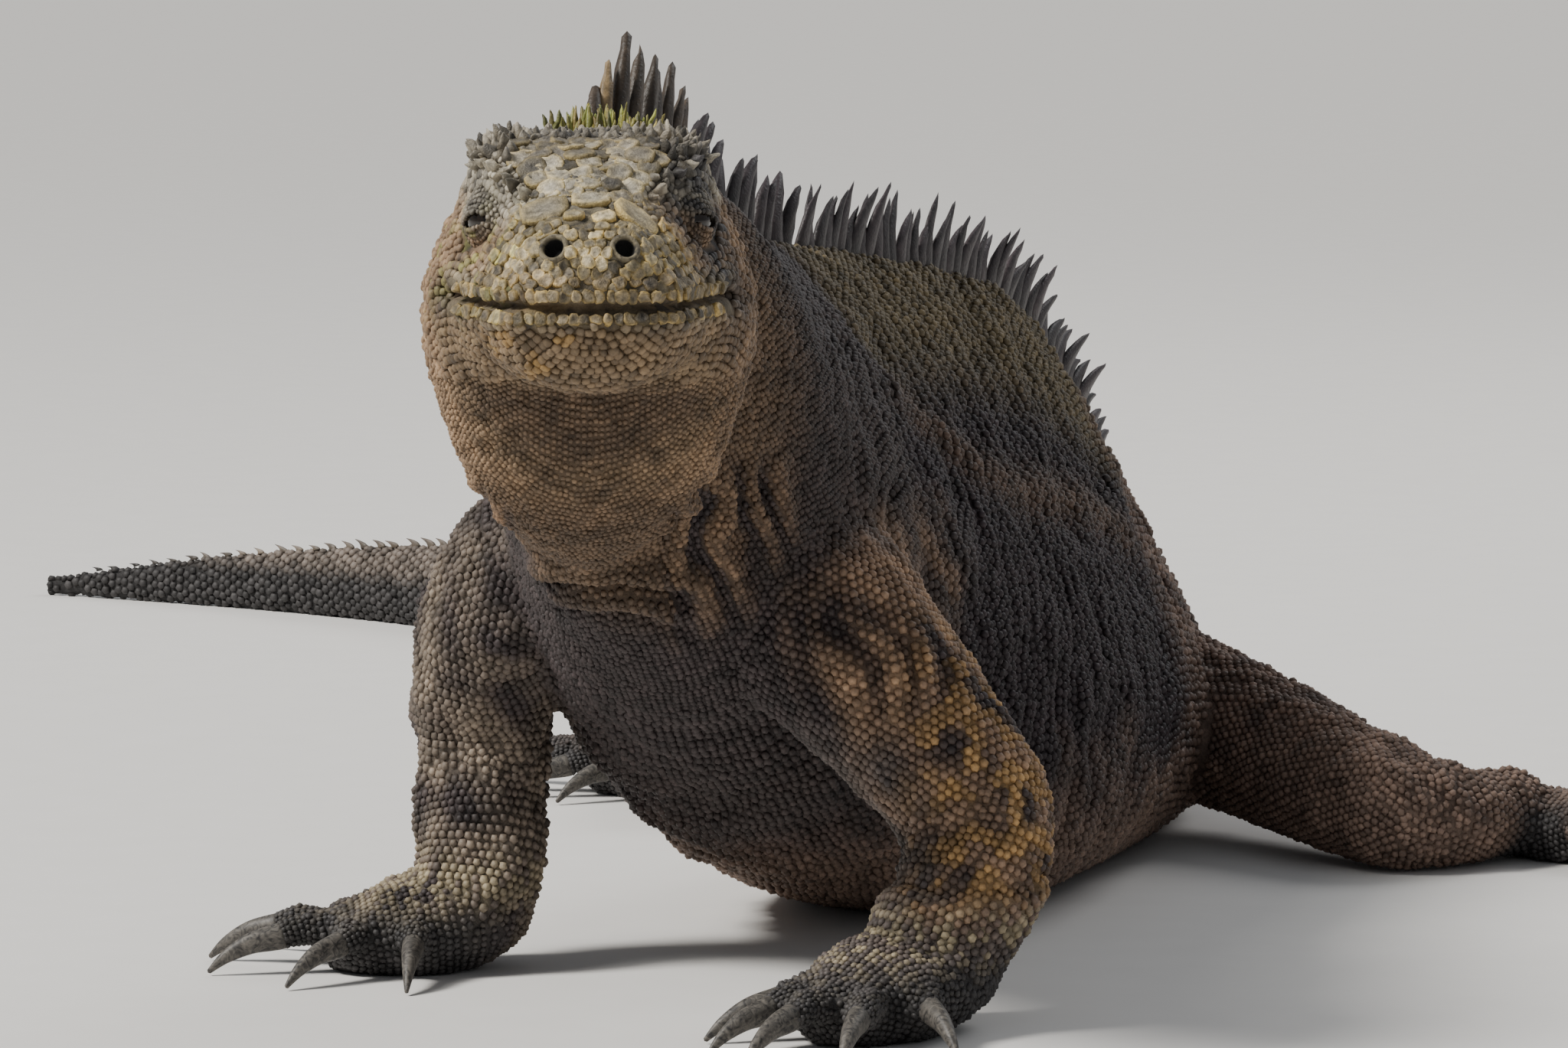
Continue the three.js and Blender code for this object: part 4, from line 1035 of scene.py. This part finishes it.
for name, (start, stop, spacing) in trunkCoat.items():
    low, high = ((place - torsoStart) / (torsoEnd - torsoStart) for place in (start, stop))
    seeds = seedsOf(surfaces["body"], spacing, 40 + int(start), whole, start=low, stop=high,
                    keep=lambda raw, v, u: raw[:, 2] > 0.2)
    coat(name, seeds, grain, hideScale, seed=7)

for legName in legForm:
    lists = []
    parts = [n for n in surfaces if n.startswith(legName)]
    for i, n in enumerate(parts):
        patch = (0.01 + 0.99 * (i / len(parts)), 0.01, 0.99 * (i + 1) / len(parts), 0.99)
        lists.append(seedsOf(surfaces[n], legCoat[n.split("_")[2]], 60 + i, patch,
                             keep=lambda raw, v, u: raw[:, 2] > 0.4))
    coat("scales_" + legName, together(*lists), grain, hideScale, seed=8)

print("crest, nape and tail spines")
crestForm = {"spacing": 4.6, "base": 3.2, "thick": 1.25, "length": 15.5, "longest": 22}


def ridge(place):
    def onTop(at):
        return bodyPoint(at, np.zeros(len(at)))
    back = unit(onTop(np.minimum(place + 0.05, torsoEnd)) - onTop(np.maximum(place - 0.05, 0)))
    up = np.cross(bodyLeft(place), back)
    return onTop(place), up * np.sign(up[:, 2:]), back


def ridgeSeeds(start, stop, spacing, lengthAt, seed, base, thick):
    local = np.random.default_rng(seed)
    place = np.linspace(start, stop, 1500)
    top, _, _ = ridge(place)
    along = np.concatenate([[0], np.cumsum(np.linalg.norm(np.diff(top, axis=0), axis=1))])
    count = int(along[-1] / spacing)
    places = np.interp((np.arange(count) + 0.5 + local.uniform(-0.2, 0.2, count)) * spacing, along, place)
    top, up, back = ridge(places)
    length = lengthAt(places) * local.uniform(0.78, 1.18, count)
    sideways = bodyLeft(places) * local.normal(0, 0.10, (count, 1))
    out = unit(up + sideways + back * local.normal(0.05, 0.08, (count, 1)))
    grown = np.sqrt(length / crestForm["length"])
    size = np.stack([base * grown, thick * grown, length], 1)
    root = np.stack([np.full(count, 0.5), (places - start) / (stop - start), np.zeros(count)], 1)
    tone = np.tile(np.array([0.030, 0.023, 0.026]), (count, 1)) * local.uniform(0.7, 1.6, (count, 1))
    return {"point": top, "out": out, "lie": back, "size": size, "root": root, "tone": tone}


def crestLength(place):
    full = crestForm["longest"] + (crestForm["length"] - crestForm["longest"]) * smooth(2, 4.5, place)
    return full * np.clip((13.5 - place) / 5, 0.35, 1)


front = ridgeSeeds(2.1, 4.6, 6.2, crestLength, 84, 2.9, 1.7)
laySeeds("crest_front_spines", front, horn, hideSpine, spread=0.12, seed=12, uneven=0.2)
crest = ridgeSeeds(4.6, 11.6, crestForm["spacing"], crestLength, 81, crestForm["base"], crestForm["thick"])
laySeeds("crest_spines", crest, thorn, hideSpine, spread=0.1, seed=9, uneven=0.12)
tailCrest = ridgeSeeds(11.6, 19.8, 7.5, lambda p: 7.0 * np.clip((21 - p) / 8, 0.2, 1), 82, 4.6, 1.6)
tailCrest["tone"] = markingsAndPaintedLight(tailCrest["point"]) * 0.8
laySeeds("tail_spines", tailCrest, thorn, hideSpine, spread=0.1, seed=10)

napeForm = {"count": 9, "length": 23, "base": 2.7, "thick": 1.9, "first": 0.16, "last": 0.92,
            "shares": (0.16, 0.3, 0.5, 1.0), "heights": (0.62, 1.12, 1.12, 0.9), "paleOne": 1}
share = np.linspace(napeForm["first"], napeForm["last"], napeForm["count"])
local = np.random.default_rng(83)
count = len(share)
length = napeForm["length"] * local.uniform(0.85, 1.1, count)
length *= np.interp(share, napeForm["shares"], napeForm["heights"])
size = np.stack([np.full(count, napeForm["base"]), np.full(count, napeForm["thick"]), length], 1)
back = np.tile(unit(-headAhead * 0.7 + np.array([0, 0.5, 0])), (count, 1))
tone = np.tile(np.array([0.045, 0.033, 0.024]), (count, 1)) * local.uniform(0.6, 1.6, (count, 1))
tone[napeForm["paleOne"]] = (0.24, 0.17, 0.09)
out = np.array([0, 0, 1.0]) + back * 0.25 + headLeft * local.normal(0.0, 0.12, (count, 1))
nape = {"point": neckPoint(share, np.zeros(count)), "out": unit(out), "lie": back, "size": size,
        "root": np.stack([np.full(count, 0.5), share, np.zeros(count)], 1), "tone": tone}
laySeeds("nape_spines", nape, horn, hideSpine, spread=0.1, seed=11, uneven=0.25)

# small yellow-green spines that stand up behind the crown
tuftForm = {"count": 110, "ahead": (-17, -6), "out": (-8, 15), "height": (4.0, 8.5), "radius": (0.45, 0.85)}
count = tuftForm["count"]
ahead, sideways = local.uniform(*tuftForm["ahead"], count), local.uniform(*tuftForm["out"], count)
raw = headPlace(ahead, sideways, np.full(count, 30.0))
point, out, hit = ontoSkin(raw, np.tile([0, 0, 1.0], (count, 1)), reach=60)
radius = local.uniform(*tuftForm["radius"], count)
out = unit(out * 0.6 + [0, 0, 1.0] + local.normal(0, 0.2, (count, 3)))
size = np.stack([radius, radius, local.uniform(*tuftForm["height"], count)], 1)
root = np.stack([local.uniform(0.3, 0.7, count), local.uniform(0, 0.2, count), np.zeros(count)], 1)
tone = np.array([0.23, 0.22, 0.055]) * local.uniform(0.4, 1.5, (count, 1))
tone = tone * local.uniform(0.85, 1.15, (count, 3))
tuft = {"point": point, "out": out, "lie": np.tile(-headAhead, (count, 1)), "size": size, "root": root,
        "tone": tone}
laySeeds("crown_tuft", chosen(tuft, hit), horn, hideSpine, spread=0.1, seed=13, uneven=0.15)

print("eyes, lids and claws")


def finished(name, points, faces, material, tone=None):
    # a smooth closed piece in the frame, its faces outwards
    made = meshObject(name, toFrame(points), faces)
    facesOut(made.data)
    if tone is not None:
        setColour(made.data, "tone", tone)
    made.data.materials.append(material)
    made.data.shade_smooth()
    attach(made, "root")
    return made


def roundTurn(sides):
    return 2 * math.pi * np.arange(sides) / sides


def ringAt(centre, across, upward, radius, turned):
    return centre + radius * (np.cos(turned)[:, None] * across + np.sin(turned)[:, None] * upward)


def ellipsoid(centre, radii, axes, rings=24, sides=32):
    turned = roundTurn(sides)
    ahead, across, upward = (axis * radius for axis, radius in zip(axes, radii))
    points = [[centre + ahead]]
    for angle in np.linspace(0, math.pi, rings + 2)[1:-1]:
        points.append(ringAt(centre + ahead * math.cos(angle), across, upward, math.sin(angle), turned))
    points.append([centre - ahead])
    last = 1 + rings * sides
    faces = [(0, 1 + k, 1 + (k + 1) % sides) for k in range(sides)]
    faces += [tuple(1 + i for i in face)[::-1] for face in ringFaces(rings, sides)]
    faces += [(last - sides + (k + 1) % sides, last - sides + k, last) for k in range(sides)]
    return np.concatenate(points), faces


wetEye = twoToned("wetEye", 0.16, 0.35, (0.006, 0.004, 0.003), (0.020, 0.013, 0.008),
                  noise={"Scale": 1800.0, "Detail": 4.0}, Coat_Weight=0.35, Coat_Roughness=0.05)
lidForm = {"wide": 3.7, "above": 1.7, "below": 1.3, "reach": 8.6, "bulge": 5.5, "spread": 6.4,
           "bead": 1.15, "tilt": 0.25, "form": (0.56, 0.62, 0.5)}


def lidFrame(side):
    ahead, out, up = headForm["eye"]
    outward = unit(headLeft * side + headAhead * 0.75)
    level = unit(np.cross(np.array([0, 0, 1.0]), outward))
    upward = np.cross(outward, level)
    across = level * math.cos(lidForm["tilt"]) - upward * math.sin(lidForm["tilt"]) * side
    return headPlace(ahead, side * out, up), outward, across, np.cross(outward, across)


def lidPoint(side, share, turned):
    # from the edge of the almond opening at 0 to where the lids run into the skin at 1
    centre, outward, across, upward = lidFrame(side)
    high = np.where(np.sin(turned) > 0, lidForm["above"], lidForm["below"])
    opening = 1 / np.sqrt((np.cos(turned) / lidForm["wide"]) ** 2 + (np.sin(turned) / high) ** 2)
    far = opening + (lidForm["reach"] - opening) * share
    wrinkle = 0.22 * np.sin(2 * math.pi * (far + 0.5 * np.sin(3 * turned)) / 1.6) * (1 - share)
    lift = lidForm["bulge"] * np.exp(-(far / lidForm["spread"]) ** 2) + wrinkle
    lift = lift - 1.6 * np.maximum(share, 0) ** 3
    return (centre + outward * lift[:, None] + across * (far * np.cos(turned) * 1.1)[:, None]
            + upward * (far * np.sin(turned))[:, None])


def lidWall(side, rings=24, sides=72):
    # the outer face of the lids, and an inner face behind it that closes them into one wall
    outward = lidFrame(side)[1]
    outer = [lidPoint(side, np.full(sides, share), roundTurn(sides)) for share in np.linspace(0, 1, rings)]
    inner = [outer[i] - outward * thick for i, thick in ((0, 1.0), (6, 1.3), (-1, 1.6))]
    layers = outer + inner[::-1]
    return np.concatenate(layers), ringFaces(len(layers), sides, closed=True)


def lidSeeds(side):
    # seven rings of small scales over one eye's lids
    outward = lidFrame(side)[1]
    lists = []
    for i, share in enumerate(np.linspace(0.04, 0.97, 7)):
        n = int(2 * math.pi * (3 + (lidForm["reach"] - 3) * share) / lidForm["bead"])
        around = 2 * math.pi * (np.arange(n) + 0.5 * (i % 2)) / n
        level = np.full(n, share)
        at = lidPoint(side, level, around)
        onward = lidPoint(side, level + 0.02, around) - at
        out = unit(np.cross(onward, lidPoint(side, level, around + 0.05) - at))
        out *= np.sign(out @ outward)[:, None]
        middle = 0.5 + 0.3 * side
        root = np.stack([middle + 0.1 * np.cos(around), 0.5 + 0.1 * np.sin(around), np.zeros(n)], 1)
        lists.append({"point": at, "out": out, "lie": unit(onward),
                      "size": np.tile(lidForm["form"], (n, 1)), "root": root, "gap": np.full(n, 0.7)})
    return lists


for sideName, side in (("left", 1), ("right", -1)):
    centre, *axes = lidFrame(side)
    ball = finished("eye_ball_" + sideName, *ellipsoid(centre, headForm["ball"], axes), wetEye)
    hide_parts("eye_" + sideName)
    points, faces = lidWall(side)
    finished("lids_" + sideName, points, faces, hideSkinShaded, markingsAndPaintedLight(points))

# a low rim round a pit painted dark as shade, as (radius, height) from the pit's floor to the root
nostrilCup = [(1.1, -2.4), (1.75, -1.7), (2.0, -0.7), (2.15, 0.1), (2.5, 0.42), (2.95, 0.25),
              (3.2, -0.3), (3.1, -1.6), (2.0, -3.2)]
cupForm = {"sides": 32, "search": 3.5, "raised": 0.75, "shadedPitRings": 3, "dark": (0.006, 0.005, 0.005)}
for sideName, side in (("left", 1), ("right", -1)):
    sides, turned = cupForm["sides"], roundTurn(cupForm["sides"])
    ahead, out, up = nostrilAt
    upward = unit(np.array([0, 0, 1.0]) - headAhead * 0.5)
    raw = ringAt(headPlace(ahead, side * out, up), headLeft, upward, cupForm["search"], turned)
    facing = unit(headAhead + headLeft * side * 0.3 + np.array([0, 0, 0.5]))
    found, outward, hit = ontoSkin(raw, np.tile(facing, (sides, 1)), reach=8)
    axis = unit(outward[hit].mean(0) + facing)
    centre = found[hit].mean(0) + axis * cupForm["raised"]
    across = unit(np.cross([0, 0, 1.0], axis))
    upward = np.cross(axis, across)
    points = np.concatenate([ringAt(centre + axis * high, across, upward, far, turned)
                             for far, high in nostrilCup])
    faces = ringFaces(len(nostrilCup), sides) + endFaces(len(nostrilCup), sides)
    tone = markingsAndPaintedLight(centre + (points - centre) * 1.8)
    # the rings inside the pit painted near black, as painted shade
    tone[:cupForm["shadedPitRings"] * sides] = cupForm["dark"]
    finished("lid_nostril_" + sideName, points, faces, hideSkinShaded, tone)
beads = roughen(together(*lidSeeds(1), *lidSeeds(-1)), 18, 0.08, 0.18, 0.3)
coat("lid_scales", beads, bead, hideScale, seed=14, crowd=False)

clawHorn = twoToned("clawHorn", 0.52, 0.35, (0.030, 0.028, 0.027), (0.16, 0.145, 0.125), ends=(0.35, 0.7),
                    noise={"Scale": 520.0, "Detail": 8.0, "Distortion": 2.0})
for legName, leg in legForm.items():
    points, faces = [], []
    for bearing, reach in leg["digits"]:
        rows = digitRows(leg["middle"], bearing, reach, True)
        claw = tubePoint(rows, (0, 0, 1), flat=1.2, first=2.9, cap=0.03)
        clawPoints, clawFaces = loft(claw, 30, 18, 0.1)
        clawPoints[:, 2] = np.maximum(clawPoints[:, 2], 0.15)
        faces += [tuple(i + len(points) for i in f) for f in clawFaces]
        points += list(clawPoints)
    claws = finished("claws_" + legName, points, faces, clawHorn)
    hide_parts(*[f"claw_{legName}_{i + 1}" for i in range(len(leg["digits"]))])

print("skin into the frame")
setColour(skinMesh, "tone", markingsAndPaintedLight(skinPoints))
skinMesh.vertices.foreach_set("co", toFrame(skinPoints).astype(np.float32).ravel())
skinMesh.update()
skinMesh.materials.clear()
skinMesh.materials.append(hideSkinShaded)
skinMesh.shade_smooth()
skin = bpy.data.objects.new("skin", skinMesh)
bpy.context.scene.collection.objects.link(skin)
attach(skin, "root")
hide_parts(*[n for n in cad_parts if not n.startswith(("eye_", "claw_"))])
for shape in (bead, grain, plate, knob, thorn, horn):
    bpy.data.objects.remove(shape)

print("floor, light and camera")
far = 40      # metres to each edge
corners = [(-far, -far, 0), (far, -far, 0), (far, far, 0), (-far, far, 0)]
floor = meshObject("floor", corners, [(0, 1, 2, 3)])
paper = twoToned("palePaper", 0.8, 0.2, (0.76, 0.745, 0.72), (0.80, 0.785, 0.76), noise={"Scale": 60.0})
floor.data.materials.append(paper)

world = bpy.data.worlds.new("studio")
world.use_nodes = True
sky = world.node_tree.nodes["Background"]
sky.inputs["Color"].default_value = (0.82, 0.86, 0.92, 1)
sky.inputs["Strength"].default_value = 0.28
bpy.context.scene.world = world

sun = bpy.data.lights.new("window", "SUN")
sun.energy, sun.angle, sun.color = 3.3, math.radians(14), (1.0, 0.97, 0.92)
high = bpy.data.objects.new("window", sun)
high.rotation_euler = Vector((0.88, 0.72, -1.2)).to_track_quat("-Z", "Y").to_euler()
bpy.context.scene.collection.objects.link(high)


def softbox(name, at, target, size, power, colour=(1, 1, 1)):
    light = bpy.data.lights.new(name, "AREA")
    light.shape, light.size, light.energy, light.color = "DISK", size, power, colour
    made = bpy.data.objects.new(name, light)
    made.location = at
    made.rotation_euler = (Vector(target) - Vector(at)).to_track_quat("-Z", "Y").to_euler()
    bpy.context.scene.collection.objects.link(made)


chest = Vector(toFrame(headPlace(0, 0, -40)))
softbox("key", chest + Vector((-1.1, -0.9, 1.7)), chest, 0.9, 22, (1.0, 0.98, 0.94))
softbox("fill", chest + Vector((1.6, -1.6, 0.8)), chest, 1.6, 2.5, (0.92, 0.95, 1.0))
softbox("back", chest + Vector((0.6, 1.8, 1.3)), chest, 1.2, 12)

# where the camera stands and turns, and its focal length in pixels of the 2048 wide picture
view = {"place": (647.37, -1491.56, 259.63), "tilt": 84.5, "turn": 22.5, "focal": 9800, "wide": 2048}
camera = bpy.data.objects.new("camera", bpy.data.cameras.new("camera"))
camera.data.sensor_width = 36
camera.data.lens = view["focal"] / view["wide"] * camera.data.sensor_width
camera.location = toFrame(view["place"])
camera.rotation_euler = (math.radians(view["tilt"]), 0, math.radians(view["turn"]))
camera.data.clip_start, camera.data.clip_end = 0.1, 50
bpy.context.scene.collection.objects.link(camera)
bpy.context.scene.camera = camera

print("finished")
